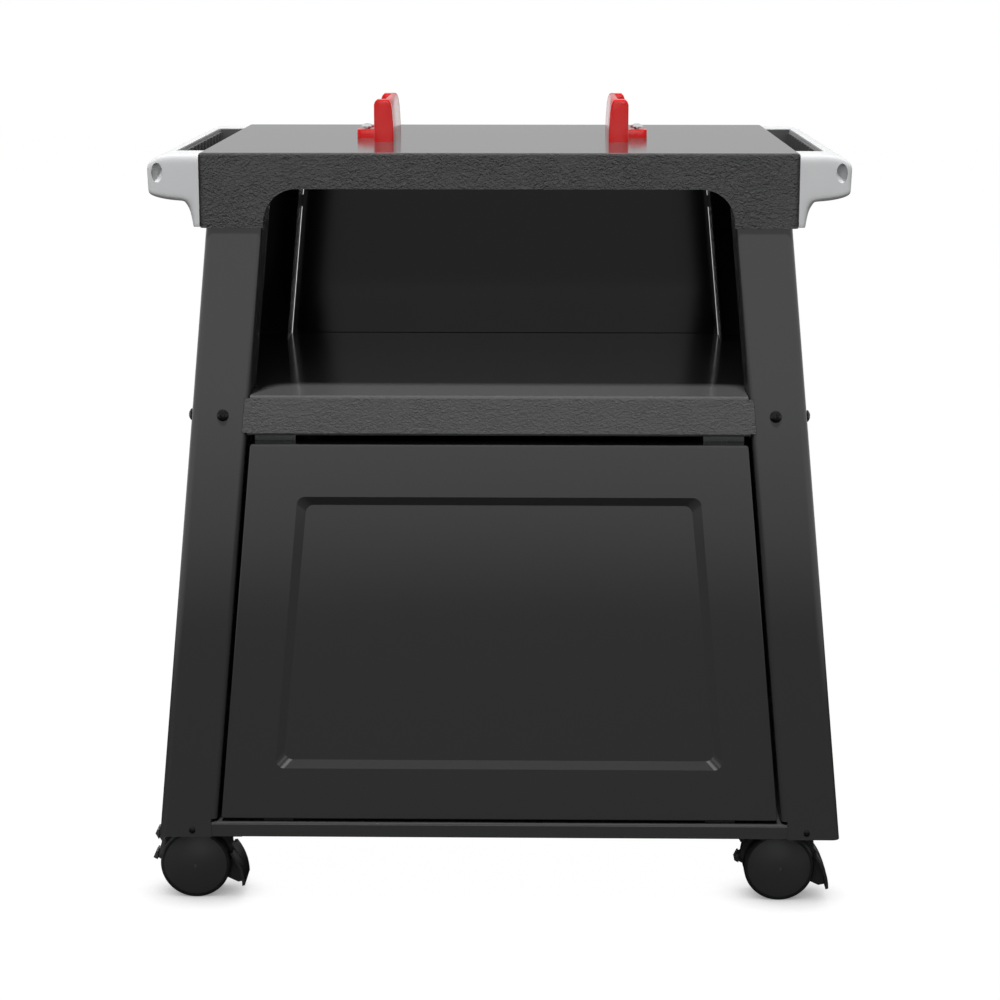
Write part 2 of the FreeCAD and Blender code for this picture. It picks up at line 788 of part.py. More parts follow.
def press_recess(body, low, high, front):
    """Press a bevelled panel into the door: its back stands out inside as far as its face goes in."""
    recess_low = low + s.recess_bottom
    recess_high = high - s.recess_top
    for kind, depth in (("AdditiveLoft", s.door_sheet), ("SubtractiveLoft", size(0))):
        rim = recess_outline(recess_low, recess_high, size(0))
        floor = recess_outline(recess_low, recess_high, s.recess_bevel)
        rim_sketch = draw(new_sketch(body, PLANE_XZ, front - depth), rim)
        floor_sketch = draw(new_sketch(body, PLANE_XZ, front - depth - s.recess_depth), floor)
        before = body.Shape.Volume
        press = body.newObject(f"PartDesign::{kind}", "Recess")
        press.Profile = rim_sketch
        press.Sections = [floor_sketch]
        press.Ruled = True
        DOC.recompute()
    check_cut(body, before)


def recess_outline(low, high, inset):
    """A trapezium that runs beside the door's edges, with rounded corners."""
    tall = door_top - door_bottom
    slope = (door_bottom_half - door_top_half) / tall
    low_half = door_bottom_half - slope * (low + s.hinge_rise) - s.recess_side - inset
    high_half = door_bottom_half - slope * (high + s.hinge_rise) - s.recess_side - inset
    bottom = low + inset
    top = high - inset
    corner = s.recess_corner
    lean = slope * corner
    return [
        (corner - low_half, bottom),
        (low_half - corner, bottom, corner),
        (low_half - lean, bottom + corner),
        (high_half + lean, top - corner, corner),
        (high_half - corner, top),
        (corner - high_half, top, corner),
        (-high_half - lean, top - corner),
        (lean - low_half, bottom + corner, corner),
    ]


def make_hinges():
    """Butt hinges: a leaf on the cabinet floor, a leaf on the door and a pin through both."""
    third = s.hinge_width / 3
    bore = s.pin_radius + s.pin_gap
    floor = base_level - hinge_z
    back = s.leaf_height + s.barrel_radius
    base_leaf = new_body("left_base_hinge_leaf", x=-hinge_x, y=-hinge_y, z=hinge_z)
    riser_front = s.barrel_radius - 0.5
    plate = rectangle(riser_front, floor, back, floor + s.leaf_sheet)
    pad(base_leaf, PLANE_YZ, plate, s.hinge_width, symmetric=True)
    riser = rectangle(riser_front, floor, riser_front + s.leaf_sheet, size(0.5))
    pad(base_leaf, PLANE_YZ, riser, third - s.knuckle_gap * 2, symmetric=True)
    barrel = draw_circle(new_sketch(base_leaf, PLANE_YZ), 0, 0, s.barrel_radius)
    extrude(base_leaf, "Pad", barrel, third - s.knuckle_gap * 2, symmetric=True)
    drill(base_leaf, PLANE_YZ, [(0, 0)], bore, s.hinge_width, symmetric=True)
    keep(base_leaf, "left_base_hinge_leaf")
    mirrored(base_leaf, "right_base_hinge_leaf")
    door_leaf = new_body("left_door_hinge_leaf", x=-hinge_x, y=-hinge_y, z=hinge_z)
    plate = rectangle(-s.barrel_radius, size(0), s.leaf_sheet - s.barrel_radius, s.leaf_height)
    pad(door_leaf, PLANE_YZ, plate, s.hinge_width, symmetric=True)
    barrel = draw_circle(new_sketch(door_leaf, PLANE_YZ), 0, 0, s.barrel_radius)
    extrude(door_leaf, "Pad", barrel, s.hinge_width, symmetric=True)
    reach = s.barrel_radius + 1
    gap = rectangle(-reach, -reach, reach, reach)
    pocket(door_leaf, PLANE_YZ, gap, third, symmetric=True)
    drill(door_leaf, PLANE_YZ, [(0, 0)], bore, s.hinge_width + 2, symmetric=True)
    keep(door_leaf, "left_door_hinge_leaf")
    mirrored(door_leaf, "right_door_hinge_leaf")
    pin = new_body("left_hinge_pin", x=-hinge_x, y=-hinge_y, z=hinge_z)
    rod = draw_circle(new_sketch(pin, PLANE_YZ), 0, 0, s.pin_radius)
    extrude(pin, "Pad", rod, s.hinge_width, symmetric=True)
    keep(pin, "left_hinge_pin")
    mirrored(pin, "right_hinge_pin")


def make_catches():
    """Magnetic catches hung under the header's return, just behind the door's strike lip."""
    front = s.door_depth + s.catch_gap - door_face
    body = new_body("left_magnet_catch", x=-catch_x, y=front, z=header_bottom)
    half = s.catch_width / 2
    case = rectangle(-half, 0, half, s.catch_depth)
    pad(body, PLANE_XY, case, s.catch_height, reverse=True)
    slot = rectangle(2 - half, -s.catch_height + 3, half - 2, -s.catch_height + 9)
    pocket(body, PLANE_XZ, slot, size(1))
    keep(body, "left_magnet_catch")
    mirrored(body, "right_magnet_catch")


# Handles

def make_handle():
    """A moulded loop: two end arms, an outer rail and a gusset under each arm."""
    body = new_body("left_handle", x=-s.top_width / 2, z=s.cart_height - s.handle_drop)
    reach = s.handle_reach
    tall = s.handle_height
    foot = s.apron_drop - s.handle_drop - 1
    profile = [
        (0, -foot),
        (0, 0),
        (-reach * 0.6, 0, 30),
        (-reach, -tall * 0.22),
        (-reach, -tall * 0.72, 20),
        (-reach * 0.78, -tall * 0.95),
        (-reach * 0.34, -tall, -s.handle_gusset * 1.3),
        (-s.handle_gusset_foot, -foot),
    ]
    pad(body, PLANE_XZ, profile, s.top_depth, symmetric=True)
    gap_half = half_depth - s.handle_arm
    gap = rectangle(s.handle_rail - reach, -gap_half, size(1), gap_half)
    pocket(body, PLANE_XY, gap, s.apron_drop * 3, symmetric=True)
    outer = lambda edge: runs_along(edge, Z_AXIS) and edge.CenterOfMass.x < 1 - reach.value
    round_edges(body, s.handle_end_radius, outer)
    bolts = [(side * handle_bolt_y, s.handle_drop - s.handle_bolt_drop) for side in (FRONT, REAR)]
    drill(body, PLANE_YZ, bolts, bolt_hole, s.handle_bolt_length)
    for side in (FRONT, REAR):
        dimple = oval(s.handle_dimple_inset - reach, -tall * 0.37)
        face = half_depth - s.handle_dimple_depth
        pocket(body, PLANE_XZ, dimple, s.handle_end_radius * 2, level=-side * face, reverse=side == FRONT)
    keep(body, "left_handle")
    mirrored(body, "right_handle")


def oval(centre_x, centre_z):
    """The upright oval of the dimple at each end of the outer rail."""
    side = s.handle_dimple_width / 2
    tall = s.handle_dimple_height / 2 - side
    return [
        (centre_x + side, centre_z - tall), (centre_x + side, centre_z + tall, side),
        (centre_x, centre_z + tall + side, side), (centre_x - side, centre_z + tall),
        (centre_x - side, centre_z - tall, side), (centre_x, centre_z - tall - side, side),
    ]


def make_grip_liner():
    """The dark liner inside the outer rail, with upright ribs for the fingers."""
    rail_face = s.handle_rail - s.handle_reach
    body = new_body("left_grip_liner", x=rail_face - s.top_width / 2, z=s.cart_height - s.handle_drop)
    half = half_depth - s.handle_arm - s.liner_end_gap
    top = -s.liner_drop
    plate = rectangle(0, -half, s.liner_sheet, half)
    pad(body, PLANE_XY, plate, s.liner_height, level=top, reverse=True)
    sketch = draw(new_sketch(body, PLANE_XY, top),
                  rectangle(s.liner_sheet, -s.liner_rib / 2, s.liner_sheet * 2, s.liner_rib / 2))
    rib = extrude(body, "Pad", sketch, s.liner_height, reverse=True)
    steps = int((half.value - s.liner_rib.value) // s.liner_rib_pitch.value)
    reach = s.liner_rib_pitch * steps
    for reverse in (False, True):
        pattern = body.newObject("PartDesign::LinearPattern", "Ribs")
        pattern.Originals = [rib]
        pattern.Direction = (sketch, ["V_Axis"])
        pattern.Reversed = reverse
        pattern.Length = reach.value
        pattern.setExpression("Length", reach.text)
        pattern.Occurrences = steps + 1
        body.Tip = pattern
        DOC.recompute()
    keep(body, "left_grip_liner")
    mirrored(body, "right_grip_liner")


# Grill brackets

def make_grill_bracket():
    """A crowned cheek that keeps the grill in place, with a foot that is screwed to the worktop."""
    body = new_body("left_grill_bracket", x=-s.bracket_x, z=s.cart_height)
    half_length = s.bracket_length / 2
    face = s.bracket_width / 2
    cheek = bracket_profile(half_length, s.bracket_height)
    pad(body, PLANE_YZ, cheek, s.bracket_width, symmetric=True)
    crown = bracket_profile(half_length - s.bracket_round / 2, s.bracket_crown)
    pad(body, PLANE_YZ, crown, face * 1.1, level=-face * 0.1)
    boss = bracket_profile(half_length / 3, s.bracket_crown)
    pad(body, PLANE_YZ, boss, face, level=1 - face)
    foot_side = s.bracket_foot / 2
    outer = -face - s.bracket_foot
    foot = rectangle(outer, -foot_side, size(0), foot_side)
    pad(body, PLANE_XY, foot, s.bracket_foot_height)
    corner = lambda edge: runs_along(edge, Z_AXIS) and abs(edge.CenterOfMass.x - outer.value) < 0.01
    round_edges(body, s.bracket_foot_corner, corner)
    hole = [(outer + foot_side, 0)]
    drill(body, PLANE_XY, hole, s.top_screw_radius + s.hole_gap, s.bracket_foot_height + 1, reverse=True)
    keep(body, "left_grill_bracket")
    mirrored(body, "right_grill_bracket")


def bracket_profile(half_length, top):
    """A side view with rounded upper corners and a slightly arched top."""
    corner = s.bracket_round
    return [
        (-half_length, 0),
        (half_length, 0),
        (half_length, top - corner - 2, corner * 1.2),
        (half_length - corner, top - 2, half_length * 6),
        (corner - half_length, top - 2, corner * 1.2),
        (-half_length, top - corner - 2),
    ]


# Fasteners

def screw_pattern(name, head_radius, head_height, shank_radius, shank_length):
    """A domed screw: the head stands on Z = 0 and the shank runs down from it."""
    body = new_body(name)
    rim = head_height * 0.3
    rise = head_height - rim
    dome = (head_radius * head_radius + rise * rise) / (rise * 2)
    outline = [
        (0, -shank_length), (shank_radius, -shank_length), (shank_radius, 0),
        (head_radius, 0), (head_radius, rim, dome), (0, head_height),
    ]
    revolve(body, PLANE_XZ, outline, "V_Axis")
    return body


def make_fasteners():
    screw = screw_pattern("screw", s.screw_head_radius, s.screw_head_height, s.screw_radius, s.screw_length)
    small = screw_pattern(
        "small_screw", s.small_head_radius, s.small_head_height, s.screw_radius, s.small_screw_length
    )
    flange, foot, web, tabs = [], [], [], []
    for x_side in (LEFT, RIGHT):
        outwards = TOWARDS_LEFT if x_side == LEFT else TOWARDS_RIGHT
        for y_side in (FRONT, REAR):
            facing = TOWARDS_FRONT if y_side == FRONT else TOWARDS_REAR
            flange.append((x_side * flange_screw_x, y_side * frame_face, flange_screw_z, facing))
            foot.append((x_side * foot_screw_x, y_side * frame_face, foot_screw_z, facing))
            web_x = outer_half(web_screw_z) + s.side_gap
            web.append((x_side * web_x, y_side * web_screw_y, web_screw_z, outwards))
        for level in tab_levels:
            tabs.append((x_side * tab_screw_x(level), frame_face + s.panel_sheet, level, TOWARDS_REAR))
    group("flange_screws", screw, flange)
    group("web_screws", screw, web)
    group("foot_screws", small, foot)
    group("back_screws", small, tabs)


def make_top_fasteners():
    screw = screw_pattern(
        "top_screw", s.top_screw_head, s.top_screw_head_height, s.top_screw_radius, s.top_screw_length
    )
    height = s.cart_height + s.bracket_foot_height
    group("bracket_screws", screw, [(side * bracket_screw_x, 0, height, UPRIGHT) for side in (LEFT, RIGHT)])
    nut = nut_pattern("top_nut", s.top_nut_radius, s.top_nut_height, s.top_screw_radius + s.pin_gap)
    under = s.cart_height - s.top_sheet - s.top_nut_height
    group("bracket_nuts", nut, [(side * bracket_screw_x, 0, under, UPRIGHT) for side in (LEFT, RIGHT)])


def make_handle_bolts():
    """Bolts from inside the side frames, through the frame and the rim of the top, into the handle arms."""
    bolt = screw_pattern(
        "handle_bolt", s.screw_head_radius, s.screw_head_height, s.handle_bolt_radius, s.handle_bolt_length
    )
    bolt_x = web_half(handle_bolt_z) - s.side_gap
    spots = []
    for x_side in (LEFT, RIGHT):
        inwards = TOWARDS_RIGHT if x_side == LEFT else TOWARDS_LEFT
        for y_side in (FRONT, REAR):
            spots.append((x_side * bolt_x, y_side * handle_bolt_y, handle_bolt_z, inwards))
    group("handle_bolts", bolt, spots)


def nut_pattern(name, radius, height, bore):
    """A hexagon nut that stands on Z = 0."""
    body = new_body(name)
    side = radius * 0.866025
    hexagon = [
        (radius, 0), (radius / 2, side), (-radius / 2, side),
        (-radius, 0), (-radius / 2, -side), (radius / 2, -side),
    ]
    pad(body, PLANE_XY, hexagon, height)
    drill(body, PLANE_XY, [(0, 0)], bore, height * 3, symmetric=True)
    return body


# Casters

wheel_inner_face = s.hood_thickness / 2 + s.wheel_gap
wheel_outer_face = wheel_inner_face + s.tread_width
hood_top = frame_bottom - s.collar_height - s.hood_gap


def make_stems():
    """Threaded stems: the collar bears on the rail from below and the pin turns in the hood."""
    stem = new_body("stem")
    low = frame_bottom - s.collar_height
    high = frame_bottom + s.thread_length
    outline = [
        (0, low - s.stem_length), (s.stem_radius, low - s.stem_length), (s.stem_radius, low),
        (s.collar_radius, low), (s.collar_radius, frame_bottom),
        (s.thread_radius, frame_bottom), (s.thread_radius, high), (0, high),
    ]
    revolve(stem, PLANE_XZ, outline, "V_Axis")
    nut = nut_pattern("stem_nut", s.nut_radius, s.nut_height, s.thread_radius + s.pin_gap)
    places = [(x, y) for x in (-caster_x, caster_x) for y in (-caster_y, caster_y)]
    group("caster_stems", stem, [(x, y, 0, UPRIGHT) for x, y in places])
    nut_level = frame_bottom + s.caster_sheet
    group("stem_nuts", nut, [(x, y, nut_level, UPRIGHT) for x, y in places])


def make_hood(name, x, y, braked):
    """The body between the wheels, with the fender over one side. Origin: stem axis on the floor."""
    body = new_body(f"{name}_caster_hood", x=x, y=y)
    hub_x = -s.wheel_trail
    hub_z = s.wheel_radius
    reach = s.wheel_radius
    tip = (hub_x + reach + 15.5, hub_z - 23, 60)
    outline = [
        (hub_x - 8, hub_z - 9),
        (hub_x + 10, hub_z - 9),
        (hub_x + reach + 6.5, hub_z - 25),
        tip,
        (hub_x + reach + 0.5, hub_z + 17),
        (hub_x + reach - 0.5, hood_top),
        (hub_x - 22, hood_top),
        (hub_x - reach + 0.5, hub_z + 22, 41),
        (hub_x - reach - 2.5, hub_z + 6),
        (hub_x - 14, hub_z - 4),
    ]
    pad(body, PLANE_XZ, outline, s.hood_thickness, symmetric=True)
    fender_x = hub_x + reach + s.fender_gap
    fender = [
        (hub_x + reach + 12.5, hub_z - 24),
        tip,
        (fender_x, hub_z + 13),
        (fender_x - s.fender_wall, hub_z + 12.4, -60),
    ]
    width = (wheel_outer_face + s.fender_overhang) * 2
    pad(body, PLANE_XZ, fender, width, symmetric=True)
    drill(body, PLANE_XY, [(0, 0)], s.stem_radius + s.running_gap, s.stem_length + 1, level=hood_top)
    drill(body, PLANE_XZ, [(hub_x, hub_z)], s.axle_radius + s.running_gap, width, symmetric=True)
    if braked:
        slot = rectangle(hub_x - reach * 2, hub_z - 8, hub_x - 15, hub_z + 32)
        pocket(body, PLANE_XZ, slot, s.brake_thickness + s.brake_gap * 2, symmetric=True)
        drill(body, PLANE_XZ, [brake_pivot()], s.brake_pin_radius + s.running_gap, width, symmetric=True)
    keep(body, f"{name}_caster_hood")


def brake_pivot():
    """The brake's pivot, seen from the side, measured from the stem axis on the floor."""
    return s.brake_pivot_inset - s.wheel_trail - s.wheel_radius, s.wheel_radius + s.brake_pivot_rise


def make_brake(name, x, y):
    """A rocking brake pedal with an upper and a lower toe pad. Origin: its pivot."""
    pivot_x, pivot_z = brake_pivot()
    body = new_body(f"{name}_brake_pedal", x=x + pivot_x, y=y, z=pivot_z)
    arm = [
        (-8, 15.5), (-13, 16), (-17, 10), (-9.5, -4), (-9, -7), (-17, -10),
        (-20, -17), (-11, -22), (-3, -15), (5, -5), (6, 4), (-2, 12),
    ]
    pad(body, PLANE_XZ, arm[::-1], s.brake_thickness, symmetric=True)
    upper = [(-15, 14), (-17, 10), (-13.4, 3.3), (-13, 14.5)]
    pad(body, PLANE_XZ, upper, s.brake_pad_width, symmetric=True)
    lower = [(-16.5, -10), (-20, -17), (-15.5, -19.4), (-15, -10)]
    pad(body, PLANE_XZ, lower, s.brake_pad_width, symmetric=True)
    pin = draw_circle(new_sketch(body, PLANE_XZ), 0, 0, s.brake_pin_radius)
    extrude(body, "Pad", pin, s.hood_thickness, symmetric=True)
    keep(body, f"{name}_brake_pedal")


def make_wheels(name, x, y):
    """Two domed wheels with their treads on one axle. Origin: the middle of the axle."""
    hub_x = x - s.wheel_trail
    inner = wheel_inner_face
    outer = wheel_outer_face
    rim = s.wheel_radius - s.tread_depth
    bore = s.axle_radius + s.pin_gap / 2
    seat = s.axle_half + s.seat_gap
    crown = outer + s.wheel_dome
    dome_radius = (rim * rim + s.wheel_dome * s.wheel_dome) / (s.wheel_dome * 2)
    disc = [
        (inner, bore), (seat, bore), (seat, 0), (crown, 0, dome_radius), (outer, rim),
        (inner, rim), (inner, rim - 3), (inner + 4, rim - 3), (inner + 4, 12), (inner, 12),
    ]
    bend = s.tread_round
    tread = [
        (inner, rim), (outer, rim), (outer, s.wheel_radius - bend), (outer - bend, s.wheel_radius),
        (inner + bend, s.wheel_radius), (inner, s.wheel_radius - bend),
    ]
    for label, turn in (("front", 180), ("rear", 0)):
        spin = FreeCAD.Rotation(Z_AXIS, turn)
        wheel = new_body(f"{name}_{label}_wheel", hub_x, y, s.wheel_radius, spin)
        revolve(wheel, PLANE_YZ, disc, "H_Axis")
        keep(wheel, f"{name}_{label}_wheel")
    band = new_body(f"{name}_tread")
    revolve(band, PLANE_YZ, tread, "H_Axis")
    turns = [FreeCAD.Rotation(Z_AXIS, turn) for turn in (180, 0)]
    group(f"{name}_treads", band, [(hub_x, y, s.wheel_radius, turn) for turn in turns])
    axle = new_body(f"{name}_axle", hub_x, y, s.wheel_radius)
    rod = draw_circle(new_sketch(axle, PLANE_XZ), 0, 0, s.axle_radius)
    extrude(axle, "Pad", rod, s.axle_half * 2, symmetric=True)
    keep(axle, f"{name}_axle")


def make_casters():
    make_stems()
    for y_side, end in ((FRONT, "front"), (REAR, "rear")):
        for x_side, hand in ((LEFT, "left"), (RIGHT, "right")):
            name = f"{end}_{hand}"
            x = x_side * caster_x
            y = y_side * caster_y
            braked = y_side == FRONT
            make_hood(name, x, y, braked)
            make_wheels(name, x, y)
            if braked:
                make_brake(name, x, y)


def write_parts():
    """Check every feature and sub-part, then write one STEP file each."""
    DOC.recompute()
    for item in DOC.Objects:
        if {"Invalid", "Error"} & set(item.State):
            raise RuntimeError(f"{item.Label} did not build: {item.State}")
    os.makedirs("parts", exist_ok=True)
    for piece in pieces:
        shape = piece.Shape
        if shape.isNull() or not shape.isValid():
            raise RuntimeError(f"{piece.Label} has no valid shape")
        shape.exportStep(f"parts/{piece.Label}.step")


make_top_pan()
make_side_frame()
make_shelf_rail()
make_caster_rail()
make_middle_shelf()
make_bottom_panel()
make_back_panel()
make_door()
make_hinges()
make_catches()
make_handle()
make_grip_liner()
make_grill_bracket()
make_fasteners()
make_top_fasteners()
make_handle_bolts()
make_casters()
write_parts()
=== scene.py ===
"""Grill cart with storage: finishes, moulded details, screws and a plain studio.

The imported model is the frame. Every node gets its finish here, and the handles, the grill brackets,
the back panel and the screws are made again with the softness and the detail that the drawing leaves
out. Lengths are in metres.
"""

import math

import bmesh
import bpy
import numpy as np
from mathutils import Matrix, Vector


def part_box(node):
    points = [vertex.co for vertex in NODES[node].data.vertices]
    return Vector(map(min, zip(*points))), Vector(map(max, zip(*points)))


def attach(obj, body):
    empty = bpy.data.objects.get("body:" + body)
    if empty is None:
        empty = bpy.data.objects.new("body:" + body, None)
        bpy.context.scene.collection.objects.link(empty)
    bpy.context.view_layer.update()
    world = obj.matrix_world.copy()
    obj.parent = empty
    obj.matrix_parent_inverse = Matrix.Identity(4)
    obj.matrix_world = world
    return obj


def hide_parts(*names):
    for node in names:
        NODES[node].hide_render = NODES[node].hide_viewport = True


bl_info = {
    "name": "Grill Cart Looks",
    "version": (1, 1, 0),
    "blender": (4, 5, 0),
    "location": "View3D > Sidebar > Grill Cart",
    "description": "Finishes, moulded details and a plain studio for the grill cart",
    "category": "Object",
}

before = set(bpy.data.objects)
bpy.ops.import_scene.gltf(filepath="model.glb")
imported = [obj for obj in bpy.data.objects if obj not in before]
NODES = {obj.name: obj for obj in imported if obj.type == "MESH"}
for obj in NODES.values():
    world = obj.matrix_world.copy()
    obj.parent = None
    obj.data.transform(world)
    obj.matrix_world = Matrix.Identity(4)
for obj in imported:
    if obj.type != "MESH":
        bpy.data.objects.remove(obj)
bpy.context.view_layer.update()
CORNERS = ("front_left", "front_right", "rear_left", "rear_right")
SIDES = ("left", "right")
SCREW_SETS = ("flange_screws", "web_screws", "foot_screws", "back_screws", "bracket_screws", "handle_bolts")


# Settings that a user would change

def length(name, description, default):
    """A setting in metres."""
    return bpy.props.FloatProperty(
        name=name, description=description, default=default, min=0.0, unit="LENGTH", precision=5
    )


def place(name, description, default):
    """A setting for a place in the scene."""
    return bpy.props.FloatVectorProperty(
        name=name, description=description, default=default, size=3, unit="LENGTH"
    )


def angle(name, description, degrees):
    """A setting for a turn."""
    return bpy.props.FloatProperty(
        name=name, description=description, default=math.radians(degrees), unit="ROTATION"
    )


def power(name, description, default):
    """A setting for a lamp, in watts."""
    return bpy.props.FloatProperty(
        name=name, description=description, default=default, min=0.0, unit="POWER"
    )


def factor(name, description, default):
    """A setting from 0 to 1."""
    return bpy.props.FloatProperty(
        name=name, description=description, default=default, min=0.0, max=1.0, subtype="FACTOR"
    )


def colour(name, description, default):
    """A setting for a colour."""
    return bpy.props.FloatVectorProperty(
        name=name, description=description, default=default, size=3, min=0.0, max=1.0, subtype="COLOR"
    )


class CartFinishes(bpy.types.PropertyGroup):
    """Colours of the coats and mouldings, and the hammered relief."""

    coat: colour("Coat", "Powder coat on the worktop", (0.047, 0.047, 0.048))
    # The shelf coat is a lighter copy of the worktop coat: painted light that lifts the shade in the shelf
    # bay under the worktop.
    shelf_coat_painted_light: colour("Shelf coat", "Powder coat on the shelf and its header", (0.070, 0.070, 0.071))
    satin: colour("Satin coat", "Smooth coat on the frames, panels and door", (0.0355, 0.0355, 0.036))
    # The back coat is a much darker copy of the satin coat: painted shade for the back panel, which sits in
    # shade inside the shelf bay.
    back: colour("Back coat", "Coat on the back panel", (0.012, 0.012, 0.0122))
    grey: colour("Handle grey", "Moulded handles", (0.48, 0.485, 0.49))
    # The dimple grey is a lighter copy of the handle grey: painted light that lifts the shade in the dimples.
    dimple_grey_painted_light: colour("Dimple grey", "Dimples in the ends of the handles", (0.50, 0.505, 0.51))
    red: colour("Bracket red", "Moulded grill brackets", (0.50, 0.010, 0.010))
    black: colour("Moulded black", "Grip liners, arm linings, pedals and caster hoods", (0.046, 0.046, 0.047))
    wheel: colour("Wheel black", "Caster wheels", (0.060, 0.060, 0.061))
    rubber: colour("Tread", "Caster treads", (0.016, 0.016, 0.017))
    zinc: colour("Zinc", "Plated screws and stems", (0.66, 0.68, 0.69))
    hammer_size: length("Hammer size", "Distance between two ridges of the hammered coat", 0.0027)
    hammer_depth: length("Hammer depth", "Relief of the hammered coat on the worktop and shelf", 0.0027)
    web_depth: length("Web depth", "Relief of the hammered coat on the side frames' webs", 0.0018)


class CartBackSheet(bpy.types.PropertyGroup):
    """How the back panel is widened."""

    growth: length("Growth", "How far each side edge moves out", 0.0013)
    middle: length("Middle", "Half width of the middle, which stays as it is", 0.15)


class CartHandles(bpy.types.PropertyGroup):
    """The moulded loops beside the worktop."""

    height: length("Height", "Height of the loop's section", 0.047)
    rail: length("Rail", "Thickness of the outer rail", 0.024)
    arm: length("Arm", "Width of an end arm", 0.050)
    softness: length("Softness", "Distance over which the outer edges are rounded", 0.011)
    gusset: length("Gusset", "Reach of the gusset under an arm", 0.0155)
    lining: length("Lining", "Thickness of the dark lining on the arms", 0.002)
    lining_height: length("Lining height", "Height of the dark lining", 0.036)
    gusset_foot: length("Gusset foot", "Thickness of the gusset's lower end", 0.007)
    dimple_width: length("Dimple width", "Half width of the dimple across the corner", 0.0168)
    dimple_height: length("Dimple height", "Half height of the dimple", 0.0100)
    dimple_depth: length("Dimple depth", "Half thickness of the dimple's oval", 0.0042)
    dimple_across: length("Dimple across", "Dimple's centre from the loop's outer side", 0.00835)
    dimple_back: length("Dimple back", "Dimple's centre from the loop's end", 0.00315)
    dimple_drop: length("Dimple drop", "Dimple's centre below the loop's top", 0.0183)


class CartBrackets(bpy.types.PropertyGroup):
    """The cheeks on the worktop."""

    foot_height: length("Foot height", "Height of the foot", 0.0095)
    foot_size: length("Foot size", "Width of the foot along the cart", 0.0225)
    cheek_width: length("Cheek width", "Thickness of the cheek at its ends", 0.0208)
    web_share: factor("Web share", "Thickness of the cheek between its ends, against its ends", 0.6)
    cheek_height: length("Cheek height", "Height of the cheek", 0.0444)
    end_length: length("End length", "Length of the cheek's thick ends", 0.015)
    edge: length("Edge", "Radius of the moulded edges", 0.0018)
    foot_corner: length("Foot corner", "Radius of the foot's outer corners", 0.0035)
    foot_rim: length("Foot rim", "Radius of the foot's upper rim", 0.0010)


class CartScrews(bpy.types.PropertyGroup):
    """The heads of the screws and bolts."""

    rim_share: factor("Rim share", "Height of the head's upright rim against the head", 0.28)
    recess_share: factor("Recess share", "Width of the driver's cross against the head", 0.66)
    recess_depth: factor("Recess depth", "Depth of the driver's cross against the head's height", 0.8)


class CartStudio(bpy.types.PropertyGroup):
    """Camera, lamps, backdrop and floor."""

    lens: bpy.props.FloatProperty(name="Lens", description="Focal length in millimetres", default=88.602)
    camera_place: place("Camera place", "Where the camera stands", (0.04044, -2.68982, 0.98068))
    camera_tilt: angle("Camera tilt", "Camera's angle from straight down", 77.738)
    camera_turn: angle("Camera turn", "Camera's turn to its left", 0.91)
    key_power: power("Key power", "Overhead lamp", 1080.0)
    key_place: place("Key place", "Where the overhead lamp hangs", (-0.35, -2.80, 8.06))
    key_width: length("Key width", "Width of the overhead lamp", 0.8)
    fill_power: power("Fill power", "Front lamp", 18.0)
    fill_place: place("Fill place", "Where the front lamp stands", (-0.3, -2.9, 2.2))
    fill_width: length("Fill width", "Width of the front lamp", 1.6)
    side_power: power("Side power", "Each of the lamps at the sides and behind", 22.0)
    side_reach: length("Side reach", "Distance of the lamps at the sides and behind", 3.0)
    side_width: length("Side width", "Width of the lamps at the sides and behind", 1.4)
    sky: factor("Sky", "Even light from all round", 0.06)
    horizon: factor("Horizon", "Brightness of the backdrop where gloss shows it near the horizon", 0.55)
    front_shade: factor("Front shade", "Brightness of the studio behind the camera, as gloss shows it", 0.10)
    glint: bpy.props.FloatProperty(
        name="Glint", description="Brightness of the low panel behind the camera, as gloss shows it",
        default=2.7, min=0.0,
    )
    floor_shade: factor("Floor shade", "How much of the lamps' light the floor throws back", 0.15)
    contact_reach: length("Contact reach", "How far from the wheels the floor is shaded", 0.06)
    dark_reach: length("Dark reach", "Floor nearer than this looks dark in gloss", 1.45)
    half_reach: length("Half reach", "Floor at this distance looks half bright in gloss", 2.05)
    bright_reach: length("Bright reach", "Floor farther than this looks brightest in gloss", 3.35)


# Node trees

class Tree:
    """A node tree under construction: small helpers that add and join its nodes."""

    def __init__(self, tree):
        self.tree = tree

    def add(self, kind, **values):
        """A new node with these values."""
        node = self.tree.nodes.new(kind)
        for name, value in values.items():
            setattr(node, name, value)
        return node

    def join(self, source, target):
        """Link an output to an input."""
        self.tree.links.new(source, target)

    def feed(self, socket, value):
        """Join a socket to another, or give it a plain value."""
        if isinstance(value, (int, float)):
            socket.default_value = value
        else:
            self.join(value, socket)

    def math(self, operation, *values):
        """A sum, product or the like of sockets and plain values."""
        node = self.add("ShaderNodeMath", operation=operation)
        for socket, value in zip(node.inputs, values):
            self.feed(socket, value)
        return node.outputs["Value"]

    def remap(self, source, low, high, to_low, to_high):
        """Carry the range from low to high over to another range, clamped at both ends."""
        node = self.add("ShaderNodeMapRange")
        self.join(source, node.inputs["Value"])
        for name, value in zip(("From Min", "From Max", "To Min", "To Max"), (low, high, to_low, to_high)):
            node.inputs[name].default_value = value
        return node.outputs["Result"]

    def choose(self, test, otherwise, value):
        """The value where the test is 1, and the other one where it is 0."""
        mix = self.add("ShaderNodeMix")
        self.join(test, mix.inputs["Factor"])
        self.feed(mix.inputs["A"], otherwise)
        self.feed(mix.inputs["B"], value)
        return mix.outputs["Result"]


